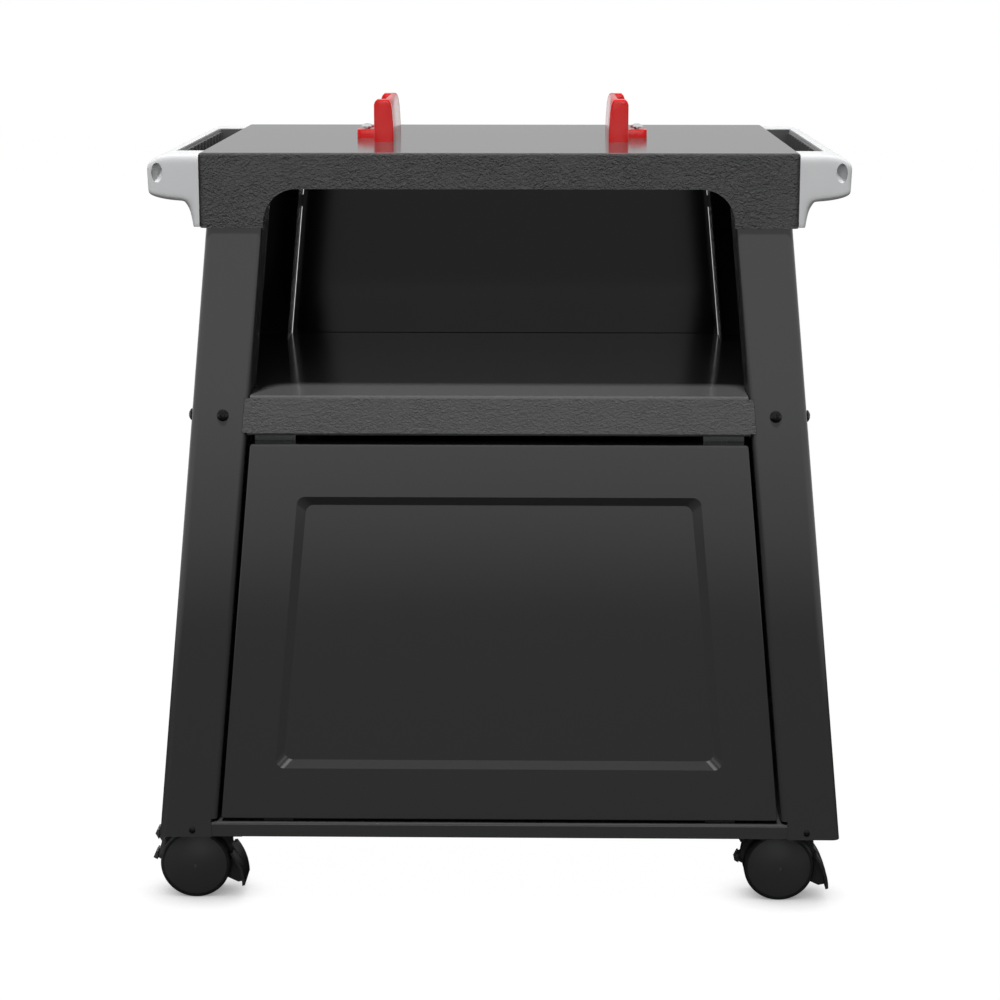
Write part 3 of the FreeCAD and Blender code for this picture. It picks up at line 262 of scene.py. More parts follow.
class Finish(Tree):
    """A material under construction."""

    def __init__(self, name):
        self.material = bpy.data.materials.new(name)
        self.material.use_nodes = True
        super().__init__(self.material.node_tree)
        self.shader = self.tree.nodes["Principled BSDF"]
        self.place = self.add("ShaderNodeTexCoord").outputs["Object"]

    def set(self, **values):
        """Put plain values on the shader's own sockets."""
        for name, value in values.items():
            self.shader.inputs[name.replace("_", " ")].default_value = value

    def noise(self, spacing, detail=2.0, roughness=0.5, distortion=0.0, stretch=(1, 1, 1)):
        """Noise with features about this far apart, drawn out along the axes by stretch."""
        mapping = self.add("ShaderNodeMapping")
        mapping.inputs["Scale"].default_value = tuple(1 / part for part in stretch)
        self.join(self.place, mapping.inputs["Vector"])
        noise = self.add("ShaderNodeTexNoise")
        noise.inputs["Scale"].default_value = 1 / spacing
        noise.inputs["Detail"].default_value = detail
        noise.inputs["Roughness"].default_value = roughness
        noise.inputs["Distortion"].default_value = distortion
        self.join(mapping.outputs["Vector"], noise.inputs["Vector"])
        return noise.outputs["Fac"]

    def vary_colour(self, base, source, spread):
        """Lighten and darken the base colour with a texture."""
        ramp = self.add("ShaderNodeValToRGB")
        for stop, share in zip(ramp.color_ramp.elements, (1 - spread, 1 + spread)):
            stop.color = (*[min(part * share, 1) for part in base], 1)
        self.join(source, ramp.inputs["Fac"])
        self.join(ramp.outputs["Color"], self.shader.inputs["Base Color"])

    def vary_roughness(self, source, low, high):
        """Sharpen and dull the gloss with a texture."""
        self.join(self.remap(source, 0.3, 0.7, low, high), self.shader.inputs["Roughness"])

    def bump(self, height, depth, mask=1.0):
        """Relief of this depth, on top of any relief that is already there."""
        node = self.add("ShaderNodeBump")
        node.inputs["Distance"].default_value = depth
        self.feed(node.inputs["Strength"], mask)
        self.join(height, node.inputs["Height"])
        socket = self.shader.inputs["Normal"]
        if socket.is_linked:
            self.join(socket.links[0].from_socket, node.inputs["Normal"])
        self.join(node.outputs["Normal"], socket)

    def facing(self, axis):
        """0 to 1 with how far the surface faces along an axis, either way."""
        split = self.add("ShaderNodeSeparateXYZ")
        self.join(self.add("ShaderNodeTexCoord").outputs["Normal"], split.inputs["Vector"])
        return self.math("ABSOLUTE", split.outputs[axis])


def hammer_waves(finish, choice, stretch):
    """The wavy ridges that a hammered coat dries in."""
    return finish.noise(choice.hammer_size, detail=2.0, distortion=0.9, stretch=stretch)


def hammered_finish(name, base, choice, top_rough, relief=1.0):
    """Powder coat with a hammered relief of wavy ridges, pressed flat and smooth where it faces up."""
    side_rough = 0.24
    finish = Finish(name)
    wave = hammer_waves(finish, choice, (1.2, 1.2, 1))
    cloud = finish.noise(choice.hammer_size * 9, detail=1.0)
    upright = finish.remap(finish.facing("Z"), 0.85, 0.95, 1, 0)
    finish.vary_colour(base, wave, 0.18)
    finish.join(finish.remap(upright, 0, 1, top_rough, side_rough), finish.shader.inputs["Roughness"])
    share = finish.remap(cloud, 0.35, 0.65, 0.65 * relief, relief)
    finish.bump(wave, choice.hammer_depth, mask=finish.math("MULTIPLY", upright, share))
    return finish.material


def frame_finish(name, base, choice):
    """Smooth coat on the flanges, with the hammered relief on the webs that face sideways."""
    finish = Finish(name)
    wave = hammer_waves(finish, choice, (1, 1.2, 1.2))
    peel = finish.noise(0.0022, detail=1.0)
    web = finish.remap(finish.facing("X"), 0.9, 0.97, 0, 0.8)
    finish.vary_colour(base, peel, 0.02)
    finish.vary_roughness(peel, 0.08, 0.11)
    finish.bump(peel, 0.000006)
    finish.bump(wave, choice.web_depth, mask=web)
    return finish.material


def smooth_finish(name, base, rough, peel_depth, gloss=0.5):
    """Smooth paint with a slight orange peel and broad, faint clouds in its gloss."""
    finish = Finish(name)
    finish.set(Specular_IOR_Level=gloss)
    peel = finish.noise(0.0026, detail=1.0)
    cloud = finish.noise(0.11, detail=3.0, stretch=(1, 1, 2.5))
    finish.vary_colour(base, peel, 0.02)
    finish.vary_roughness(cloud, rough, rough + 0.02)
    finish.bump(peel, peel_depth)
    return finish.material


def moulded_finish(name, base, rough, grain_size=0.0007, grain_depth=0.00004):
    """Moulded plastic: a fine spark-eroded grain and faint flow marks."""
    finish = Finish(name)
    grain = finish.noise(grain_size, detail=2.0)
    flow = finish.noise(0.03, detail=2.0, stretch=(1, 3, 1))
    finish.vary_colour(base, flow, 0.04)
    finish.vary_roughness(grain, rough - 0.05, rough + 0.05)
    finish.bump(grain, grain_depth)
    return finish.material


def plated_finish(name, base, rough):
    """Plated steel with fine turning marks."""
    finish = Finish(name)
    finish.set(Metallic=1.0)
    marks = finish.noise(0.0006, detail=2.0, stretch=(1, 1, 6))
    cloud = finish.noise(0.004, detail=2.0)
    finish.vary_colour(base, cloud, 0.08)
    finish.vary_roughness(marks, rough - 0.08, rough + 0.1)
    finish.bump(marks, 0.00001)
    return finish.material


def rubber_finish(name, base):
    """Tread with fine scuffs round it."""
    finish = Finish(name)
    scuff = finish.noise(0.003, detail=4.0, roughness=0.7)
    finish.vary_colour(base, scuff, 0.25)
    finish.vary_roughness(scuff, 0.5, 0.72)
    finish.bump(scuff, 0.00006)
    return finish.material


def paint(obj, material):
    """Give a piece one material."""
    obj.data.materials.clear()
    obj.data.materials.append(material)


# Mesh helpers

def clear_selection():
    """Leave nothing selected and nothing in edit mode."""
    if bpy.context.mode != "OBJECT":
        bpy.ops.object.mode_set(mode="OBJECT")
    bpy.ops.object.select_all(action="DESELECT")


def activate(*objects):
    """Select these pieces only, the first as the active one."""
    clear_selection()
    for obj in objects:
        obj.select_set(True)
    bpy.context.view_layer.objects.active = objects[0]


def edit(obj):
    """Go into edit mode with nothing selected."""
    activate(obj)
    bpy.ops.object.mode_set(mode="EDIT")
    bpy.ops.mesh.select_mode(type="FACE")
    bpy.ops.mesh.select_all(action="DESELECT")


def settle(obj, name):
    """Name a piece and move its place and turn into its mesh."""
    activate(obj)
    obj.name = name
    obj.data.name = name
    bpy.ops.object.transform_apply(location=True, rotation=True, scale=True)
    return obj


def pick_faces(obj, wanted):
    """In edit mode, select the faces that the test picks from their centre and normal."""
    bpy.ops.mesh.select_mode(type="FACE")
    bpy.ops.mesh.select_all(action="DESELECT")
    mesh = bmesh.from_edit_mesh(obj.data)
    mesh.normal_update()
    for face in mesh.faces:
        face.select_set(wanted(face.calc_center_median(), face.normal))
    bmesh.update_edit_mesh(obj.data)


def pick_edges(obj, wanted):
    """In edit mode, select the edges that the test picks from their two ends."""
    bpy.ops.mesh.select_mode(type="EDGE")
    bpy.ops.mesh.select_all(action="DESELECT")
    mesh = bmesh.from_edit_mesh(obj.data)
    for line in mesh.edges:
        line.select_set(wanted(line.verts[0].co, line.verts[1].co))
    bmesh.update_edit_mesh(obj.data)


def pick_corners(obj, wanted):
    """In edit mode, select the vertices that the test picks from their place."""
    bpy.ops.mesh.select_mode(type="VERT")
    bpy.ops.mesh.select_all(action="DESELECT")
    mesh = bmesh.from_edit_mesh(obj.data)
    for corner in mesh.verts:
        corner.select_set(wanted(corner.co))
    mesh.select_flush_mode()
    bmesh.update_edit_mesh(obj.data)


def draw_out(*steps):
    """Extrude the selected faces by each step in turn."""
    for step in steps:
        bpy.ops.mesh.extrude_region_move(TRANSFORM_OT_translate={"value": step})


def face_outwards():
    """Merge double vertices and turn every face outwards."""
    bpy.ops.mesh.select_all(action="SELECT")
    bpy.ops.mesh.remove_doubles(threshold=0.00001)
    bpy.ops.mesh.normals_make_consistent(inside=False)


def apply(obj, kind, **values):
    """Add a modifier, set its values and apply it."""
    activate(obj)
    modifier = obj.modifiers.new(kind.lower(), kind)
    for name, value in values.items():
        setattr(modifier, name, value)
    bpy.ops.object.modifier_apply(modifier=modifier.name)


def soften(obj, degrees):
    """Shade a piece smooth across edges that turn less than this."""
    activate(obj)
    bpy.ops.object.shade_smooth_by_angle(angle=math.radians(degrees))


def copy_mirrored(obj, name):
    """A second piece, the first one's mirror image across the cart's middle."""
    twin = obj.copy()
    twin.data = obj.data.copy()
    bpy.context.scene.collection.objects.link(twin)
    twin.name = name
    twin.data.name = name
    twin.data.transform(Matrix.Diagonal((-1, 1, 1, 1)))
    twin.data.flip_normals()
    return twin


def join(first, *others):
    """Make one piece of several."""
    activate(first, *others)
    bpy.ops.object.join()
    return first


def near(value, target, reach=0.0002):
    """Whether two coordinates are the same within a small reach."""
    return abs(value - target) < reach


def lies_at(start, end, axis, value, reach=0.0002):
    """Whether both ends of an edge have this coordinate."""
    return near(getattr(start, axis), value, reach) and near(getattr(end, axis), value, reach)


# The scene's pieces

class CART_OT_coat_sheet_metal(bpy.types.Operator):
    """Give the worktop, frames, shelf, panels and door their coats"""

    bl_idname = "cart.coat_sheet_metal"
    bl_label = "Coat Sheet Metal"

    def execute(self, context):
        choice = context.scene.cart_finishes
        worktop = hammered_finish("worktop_coat", choice.coat, choice, top_rough=0.14)
        # Painted light: the shelf and its header get a lighter copy of the worktop's hammered coat, to lift
        # the shade under the worktop.
        shelf = hammered_finish("shelf_coat_painted_light", choice.shelf_coat_painted_light, choice, top_rough=0.12, relief=0.35)
        frames = frame_finish("frame_coat", choice.satin, choice)
        panels = smooth_finish("panel_coat", choice.satin, rough=0.10, peel_depth=0.000006)
        # Painted shade: the back panel gets a darker copy of the satin coat.
        back = smooth_finish("shaded_back_coat", choice.back, rough=0.10, peel_depth=0.000008, gloss=0.22)
        door = smooth_finish("door_coat", choice.satin, rough=0.09, peel_depth=0.000005)
        steel = smooth_finish("blackened_steel", choice.satin, rough=0.30, peel_depth=0.00001)
        paint(NODES["top_pan"], worktop)
        paint(NODES["middle_shelf"], shelf)
        paint(NODES["bottom_panel"], panels)
        self.fit_back_sheet(context.scene.cart_back_sheet, back)
        paint(NODES["door_panel"], door)
        for side in SIDES:
            paint(NODES[f"{side}_side_frame"], frames)
            paint(NODES[f"{side}_shelf_rail"], panels)
            paint(NODES[f"{side}_caster_rail"], panels)
            for part in ("base_hinge_leaf", "door_hinge_leaf", "hinge_pin"):
                paint(NODES[f"{side}_{part}"], steel)
        return {"FINISHED"}

    def fit_back_sheet(self, size, back):
        """The back panel again, a little wider, so that only a hairline of light shows beside it."""
        sheet = NODES["back_panel"].copy()
        sheet.data = sheet.data.copy()
        bpy.context.scene.collection.objects.link(sheet)
        for corner in sheet.data.vertices:
            if abs(corner.co.x) > size.middle:
                corner.co.x += math.copysign(size.growth, corner.co.x)
        edit(sheet)
        bpy.ops.mesh.select_all(action="SELECT")
        bpy.ops.mesh.remove_doubles(threshold=0.00001)
        bpy.ops.mesh.faces_shade_flat()
        bpy.ops.object.mode_set(mode="OBJECT")
        bpy.ops.mesh.customdata_custom_splitnormals_clear()
        settle(sheet, "back_sheet")
        paint(sheet, back)
        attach(sheet, "cart")
        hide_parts("back_panel")


class CART_OT_finish_moulded_parts(bpy.types.Operator):
    """Give the liners, catches, casters and plated parts their finishes"""

    bl_idname = "cart.finish_moulded_parts"
    bl_label = "Finish Moulded Parts"

    def execute(self, context):
        choice = context.scene.cart_finishes
        black = moulded_finish("moulded_black", choice.black, rough=0.38)
        wheel = moulded_finish(
            "wheel_black", choice.wheel, rough=0.42, grain_size=0.0012, grain_depth=0.00002
        )
        tread = rubber_finish("tread_rubber", choice.rubber)
        zinc = plated_finish("zinc_plate", choice.zinc, rough=0.3)
        dull = plated_finish("catch_plate", [part * 0.12 for part in choice.zinc], rough=0.35)
        for side in SIDES:
            paint(NODES[f"{side}_grip_liner"], black)
            paint(NODES[f"{side}_magnet_catch"], dull)
            paint(NODES[f"front_{side}_brake_pedal"], black)
        for corner in CORNERS:
            paint(NODES[f"{corner}_caster_hood"], black)
            paint(NODES[f"{corner}_front_wheel"], wheel)
            paint(NODES[f"{corner}_rear_wheel"], wheel)
            paint(NODES[f"{corner}_treads"], tread)
            paint(NODES[f"{corner}_axle"], zinc)
        for part in ("bracket_nuts", "caster_stems", "stem_nuts"):
            paint(NODES[part], zinc)
        return {"FINISHED"}


class CART_OT_mould_handles(bpy.types.Operator):
    """Mould the two grey loops, with soft outer edges, gussets and a dimple at each end"""

    bl_idname = "cart.mould_handles"
    bl_label = "Mould Handles"

    def execute(self, context):
        size = context.scene.cart_handles
        choice = context.scene.cart_finishes
        grey = moulded_finish("handle_grey", choice.grey, rough=0.42)
        # Painted light: a lighter copy of the handle grey for the dimples' faces.
        painted_light_grey = moulded_finish("dimple_grey_painted_light", choice.dimple_grey_painted_light, rough=0.5)
        left = self.mould_loop(size, grey, painted_light_grey)
        right = copy_mirrored(left, "right_loop")
        for side, loop in zip(SIDES, (left, right)):
            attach(loop, "cart")
            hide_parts(f"{side}_handle")
        self.line_arms(size, moulded_finish("lining_black", choice.black, rough=0.45))
        return {"FINISHED"}

    def line_arms(self, size, black):
        """The dark lining of the finger gap goes on along the inner faces of the arms."""
        low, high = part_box("left_handle")
        rim_x, rim_y = low[0] + size.rail, low[1] + size.arm
        margin, softness = 0.001, 0.0006
        plates = []
        for side in (-1, 1):
            clear_selection()
            bpy.ops.mesh.primitive_cube_add(
                size=1,
                location=(
                    (rim_x + high[0]) / 2,
                    side * (-rim_y - size.lining / 2),
                    high[2] - margin - size.lining_height / 2,
                ),
                scale=(high[0] - rim_x - margin, size.lining, size.lining_height),
            )
            plate = settle(bpy.context.object, "plate")
            edit(plate)
            pick_edges(plate, lambda start, end: True)
            bpy.ops.mesh.bevel(offset=softness, segments=2, affect="EDGES")
            bpy.ops.object.mode_set(mode="OBJECT")
            plates.append(plate)
        left = settle(join(*plates), "left_arm_lining")
        paint(left, black)
        soften(left, 40)
        for lining in (left, copy_mirrored(left, "right_arm_lining")):
            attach(lining, "cart")

    def mould_loop(self, size, grey, painted_light_grey):
        """Half a loop, drawn out from its end along the arm and the rail, then mirrored and rounded."""
        low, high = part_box("left_handle")
        loop = self.lay_section(size, low, high)
        edit(loop)
        bpy.ops.mesh.select_all(action="SELECT")
        arm_hold, rail_hold = 0.004, 0.006
        draw_out((0, size.softness, 0), (0, size.arm - size.softness - arm_hold, 0), (0, arm_hold, 0))
        rail_edge = low[0] + size.rail
        arm_end = low[1] + size.arm
        pick_faces(loop, lambda at, normal: near(at.y, arm_end) and at.x < rail_edge)
        half = (high[1] - low[1]) / 2 - size.arm
        draw_out((0, rail_hold, 0), (0, half / 2, 0), (0, half / 2 - rail_hold, 0))
        bpy.ops.mesh.delete(type="FACE")
        self.drop_gusset(loop, size, low, high)
        face_outwards()
        bpy.ops.object.mode_set(mode="OBJECT")
        self.hold_edges(loop, size, low, high)
        apply(loop, "MIRROR", use_axis=(False, True, False), merge_threshold=0.0001)
        apply(loop, "SUBSURF", levels=3, render_levels=3)
        paint(loop, grey)
        self.press_dimples(loop, size, low, high, painted_light_grey)
        soften(loop, 40)
        return settle(loop, "left_loop")

    def lay_section(self, size, low, high):
        """The loop's section at its front face: a sheet of quads, four wide and three tall."""
        inner, outer, top = high[0], low[0], high[2]
        tall = size.height
        # Each corner's place across the cart and its drop below the top
        upper = ((inner, 0), (inner - 0.014, 0), (outer + size.rail, 0), (outer + 0.010, 0.002),
                 (outer, 0.010))
        under = ((inner, tall), (inner - size.gusset, tall), (outer + size.rail, tall - 0.0005),
                 (outer + 0.0085, tall - 0.0035), (outer + 0.0012, tall - 0.0075))
        levels = (0, 0.24, 0.85, 1)
        clear_selection()
        bpy.ops.mesh.primitive_grid_add(x_subdivisions=4, y_subdivisions=3, size=1)
        sheet = bpy.context.object
        for corner in sheet.data.vertices:
            column = 4 - round((corner.co.x + 0.5) * 4)
            share = levels[round((0.5 - corner.co.y) * 3)]
            (rim_x, rim_drop), (foot_x, foot_drop) = upper[column], under[column]
            across = rim_x + (foot_x - rim_x) * share
            corner.co = (across, low[1], top - rim_drop - (foot_drop - rim_drop) * share)
        return sheet

    def drop_gusset(self, loop, size, low, high):
        """Draw the gusset down from the arm's underside, along the worktop's side."""
        arm_end = low[1] + size.arm
        edge = high[0] - size.gusset
        margin = 0.0005
        under = high[2] - size.height + margin
        pick_faces(loop, lambda at, normal: at.z < under and at.x > edge and at.y < arm_end)
        deep = under - low[2]
        for share, thick in ((0.35, 0.3), (1.0, 0)):
            level = under - deep * share
            draw_out((0, 0, level - self.lowest(loop)))
            target = high[0] - size.gusset_foot - (size.gusset - size.gusset_foot) * thick
            pick_corners(loop, lambda at: near(at.z, level) and at.x < high[0] - 0.001)
            mesh = bmesh.from_edit_mesh(loop.data)
            for corner in mesh.verts:
                if corner.select:
                    corner.co.x = target
            bmesh.update_edit_mesh(loop.data)
            pick_faces(loop, lambda at, normal: near(at.z, level))

    def lowest(self, loop):
        """Level of the loop's lowest vertex, in edit mode."""
        mesh = bmesh.from_edit_mesh(loop.data)
        return min(corner.co.z for corner in mesh.verts)

    def hold_edges(self, loop, size, low, high):
        """Crease what stays crisp: the face against the worktop and the rim of the finger gap."""
        crease = loop.data.attributes.new("crease_edge", "FLOAT", "EDGE")
        rim_x, rim_y = low[0] + size.rail, low[1] + size.arm
        gusset_x, under = high[0] - size.gusset, high[2] - size.height
        full, firm = 1.0, 0.85
        for line in loop.data.edges:
            ends = [loop.data.vertices[index].co for index in line.vertices]
            against = lies_at(*ends, "x", high[0])
            turn = lies_at(*ends, "x", gusset_x) and lies_at(*ends, "z", under)
            along_arm = lies_at(*ends, "y", rim_y) and min(end.x for end in ends) > rim_x - 0.001
            along_rail = lies_at(*ends, "x", rim_x) and min(end.y for end in ends) > rim_y - 0.0001
            foot = lies_at(*ends, "z", low[2], reach=0.001)
            crisp = along_arm or along_rail or foot or turn
            crease.data[line.index].value = full if against else firm if crisp else 0.0

    def press_dimples(self, loop, size, low, high, painted_light_grey):
        """Cut an oval dimple into the outer corner of each arm, and give its faces a lighter grey: painted
        light that lifts the dimple's shade.
        """
        for end, inward, turn in ((low[1], 1, 45), (high[1], -1, -45)):
            clear_selection()
            bpy.ops.mesh.primitive_uv_sphere_add(
                segments=48, ring_count=32, radius=1,
                location=(
                    low[0] + size.dimple_across, end + inward * size.dimple_back, high[2] - size.dimple_drop
                ),
                rotation=(0, 0, math.radians(turn)),
                scale=(size.dimple_depth, size.dimple_width, size.dimple_height),
            )
            cutter = settle(bpy.context.object, "dimple_cutter")
            paint(cutter, painted_light_grey)
            apply(loop, "BOOLEAN", operation="DIFFERENCE", solver="EXACT", object=cutter,
                  material_mode="TRANSFER")
            bpy.data.objects.remove(cutter)


class CART_OT_mould_brackets(bpy.types.Operator):
    """Mould the two red cheeks that keep the grill in place, each with thick ends and a foot"""

    bl_idname = "cart.mould_brackets"
    bl_label = "Mould Brackets"

    # The section's inner side from the top down: its lean against the width, its level against the height
    LEANING_SIDE = (
        (0.27, 1.0), (0.20, 0.975), (0.13, 0.9), (0.075, 0.75), (0.035, 0.5), (0.01, 0.25), (0, 0)
    )

    def execute(self, context):
        size = context.scene.cart_brackets
        red = moulded_finish("bracket_red", context.scene.cart_finishes.red, rough=0.16)
        left = self.mould_bracket(size)
        paint(left, red)
        right = copy_mirrored(left, "right_cheek")
        for side, bracket in zip(SIDES, (left, right)):
            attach(bracket, "cart")
            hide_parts(f"{side}_grill_bracket")
        return {"FINISHED"}

    def mould_bracket(self, size):
        """One cheek: a thinner length in the middle, a thick one at each end, and the foot."""
        low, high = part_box("left_grill_bracket")
        inner, seat, half = high[0], low[2], high[1]
        outer = inner - size.cheek_width
        web = inner - size.cheek_width * size.web_share
        lap = size.end_length / 2
        front = self.mould_length(size, outer, inner, seat, -half, size.end_length - half)
        middle = self.mould_length(size, web, inner, seat, lap - half, half - lap)
        rear = self.mould_length(size, outer, inner, seat, half - size.end_length, half)
        side = size.foot_size / 2
        foot_inset, foot_lap = 0.0012, 0.002
        foot = self.mould_foot(
            size, (low[0] + foot_inset, -side, seat), (web + foot_lap, side, seat + size.foot_height)
        )
        bracket = join(front, middle, rear, foot)
        soften(bracket, 40)
        return settle(bracket, "left_cheek")

    def mould_length(self, size, outer, inner, seat, front, rear):
        """A length of the cheek: its section, which leans in towards its top, drawn out along the cart."""
        wide, tall = inner - outer, size.cheek_height
        outline = [(outer, 0), (outer, 0.88 * tall), (outer + 0.0012, 0.95 * tall),
                   (outer + min(0.0034, wide * 0.4), tall)]
        for lean, share in self.LEANING_SIDE:
            outline.append((inner - size.cheek_width * lean, share * tall))
        clear_selection()
        bpy.ops.mesh.primitive_circle_add(vertices=len(outline), radius=0.01, fill_type="NGON")
        bar = bpy.context.object
        for corner, (across, up) in zip(bar.data.vertices, outline):
            corner.co = (across, front, seat + up)
        edit(bar)
        bpy.ops.mesh.select_all(action="SELECT")
        draw_out((0, rear - front, 0))
        face_outwards()
        pick_edges(bar, lambda start, end: near(start.y, end.y) and max(start.z, end.z) > seat + 0.001)
        bpy.ops.mesh.bevel(offset=size.edge, segments=3, affect="EDGES", clamp_overlap=True)
        bpy.ops.object.mode_set(mode="OBJECT")
        return settle(bar, "length")

    def mould_foot(self, size, low, high):
        """The foot, a block with rounded outer corners and a soft upper rim."""
        clear_selection()
        centre = [(a + b) / 2 for a, b in zip(low, high)]
        bpy.ops.mesh.primitive_cube_add(size=1, location=centre, scale=[b - a for a, b in zip(low, high)])
        foot = settle(bpy.context.object, "foot")
        edit(foot)
        pick_edges(foot, lambda start, end: lies_at(start, end, "x", low[0]) and near(start.y, end.y))
        bpy.ops.mesh.bevel(offset=size.foot_corner, segments=5, affect="EDGES")
        pick_edges(foot, lambda start, end: lies_at(start, end, "z", high[2]))
        bpy.ops.mesh.bevel(offset=size.foot_rim, segments=3, affect="EDGES")
        bpy.ops.object.mode_set(mode="OBJECT")
        return foot


class CART_OT_drive_screws(bpy.types.Operator):
    """Turn every screw with a domed head and a driver's cross, where the drawing has it"""

    bl_idname = "cart.drive_screws"
    bl_label = "Drive Screws"

    def execute(self, context):
        size = context.scene.cart_screws
        choice = context.scene.cart_finishes
        dark = [part * 0.2 for part in choice.satin]
        black = moulded_finish("blackened_screw", dark, rough=0.4, grain_size=0.0009, grain_depth=0.00001)
        zinc = plated_finish("bright_screw", choice.zinc, rough=0.28)
        for name in SCREW_SETS:
            places = self.find_screws(name)
            pattern = self.turn_screw(size, *places[0][2:])
            copies = [self.place_screw(pattern, spot, along) for spot, along, *_ in places]
            bpy.data.objects.remove(pattern)
            screws = settle(join(*copies), f"{name[:-1]}_set")
            bright = name == "bracket_screws"
            paint(screws, zinc if bright else black)
            soften(screws, 35)
            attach(screws, "cart")
            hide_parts(name)
        return {"FINISHED"}

    def find_screws(self, name):
        """For each screw of a node: its seat, its axis, head radius and height, shank radius and length."""
        mesh = bmesh.new()
        mesh.from_mesh(NODES[name].data)
        bmesh.ops.remove_doubles(mesh, verts=mesh.verts, dist=0.000002)
        loose = set(mesh.verts)
        found = []
        while loose:
            group, front = set(), {loose.pop()}
            while front:
                corner = front.pop()
                group.add(corner)
                linked = {line.other_vert(corner) for line in corner.link_edges} - group
                front |= linked
            loose -= group
            found.append(self.measure_screw(np.array([corner.co for corner in group])))
        mesh.free()
        return found

    def measure_screw(self, points):
        """One screw from its vertices. Its axis is the one whose spread differs from the other two."""
        rims = np.unique(points.round(5), axis=0)
        centre = (rims.max(0) + rims.min(0)) / 2
        spreads, axes = np.linalg.eigh(np.cov((rims - rims.mean(0)).T))
        oddness = [min(abs(spreads[one] - spreads[one - step]) for step in (1, 2)) for one in range(3)]
        along = axes[:, int(np.argmax(oddness))]
        steps = (rims - centre) @ along
        radii = np.linalg.norm(rims - centre - np.outer(steps, along), axis=1)
        head = radii.max()
        if np.median(steps[radii > head * 0.9]) < 0:
            along, steps = -along, -steps
        seat = steps[radii > head * 0.97].min()
        shank = radii[steps < seat - 0.0005].max()
        return (
            Vector(centre + along * seat), Vector(along), head, steps.max() - seat, shank, seat - steps.min()
        )

    def turn_screw(self, size, head, rise, shank, reach):
        """One screw along Z: its head stands on the origin."""
        rim = rise * size.rim_share
        clear_selection()
        bpy.ops.mesh.primitive_cylinder_add(vertices=32, radius=head, depth=rim, location=(0, 0, rim / 2))
        screw = settle(bpy.context.object, "screw_pattern")
        edit(screw)
        pick_faces(screw, lambda at, normal: normal.z > 0.9)
        last_share, last_level = 1.0, 0.0
        for share in (0.94, 0.82, 0.64, 0.42, 0.2):
            level = (rise - rim) * (1 - share * share)
            bpy.ops.mesh.inset(thickness=head * (last_share - share))
            bpy.ops.transform.translate(value=(0, 0, level - last_level))
            last_share, last_level = share, level
        pick_faces(screw, lambda at, normal: normal.z < -0.9)
        bpy.ops.mesh.inset(thickness=head - shank)
        point, slim = 0.08, 0.6
        draw_out((0, 0, -reach * (1 - point)), (0, 0, -reach * point))
        bpy.ops.transform.resize(value=(slim, slim, 1), center_override=(0, 0, -reach))
        bpy.ops.object.mode_set(mode="OBJECT")
        self.cut_cross(screw, size, head, rise)
        return screw

    def cut_cross(self, screw, size, head, rise):
        """Sink the driver's cross, two tapered bars, into the head."""
        span = head * size.recess_share
        deep = rise * size.recess_depth
        bar_width, taper_along, taper_across = 0.42, 0.45, 0.8
        for turn, taper in ((0, (taper_along, taper_across)), (90, (taper_across, taper_along))):
            clear_selection()
            bpy.ops.mesh.primitive_cube_add(
                size=1, location=(0, 0, rise), rotation=(0, 0, math.radians(turn)),
                scale=(span * 2, span * bar_width, deep * 2),
            )
            bar = settle(bpy.context.object, "cross_bar")
            for corner in bar.data.vertices:
                if corner.co.z < rise:
                    corner.co.x *= taper[0]
                    corner.co.y *= taper[1]
            apply(screw, "BOOLEAN", operation="DIFFERENCE", solver="EXACT", object=bar)
            bpy.data.objects.remove(bar)

    def place_screw(self, pattern, spot, along):
        """A copy of the pattern with its head's seat at a spot."""
        screw = pattern.copy()
        screw.data = pattern.data.copy()
        bpy.context.scene.collection.objects.link(screw)
        turn = along.to_track_quat("Z", "Y").to_matrix().to_4x4()
        screw.data.transform(Matrix.Translation(spot) @ turn)
        return screw


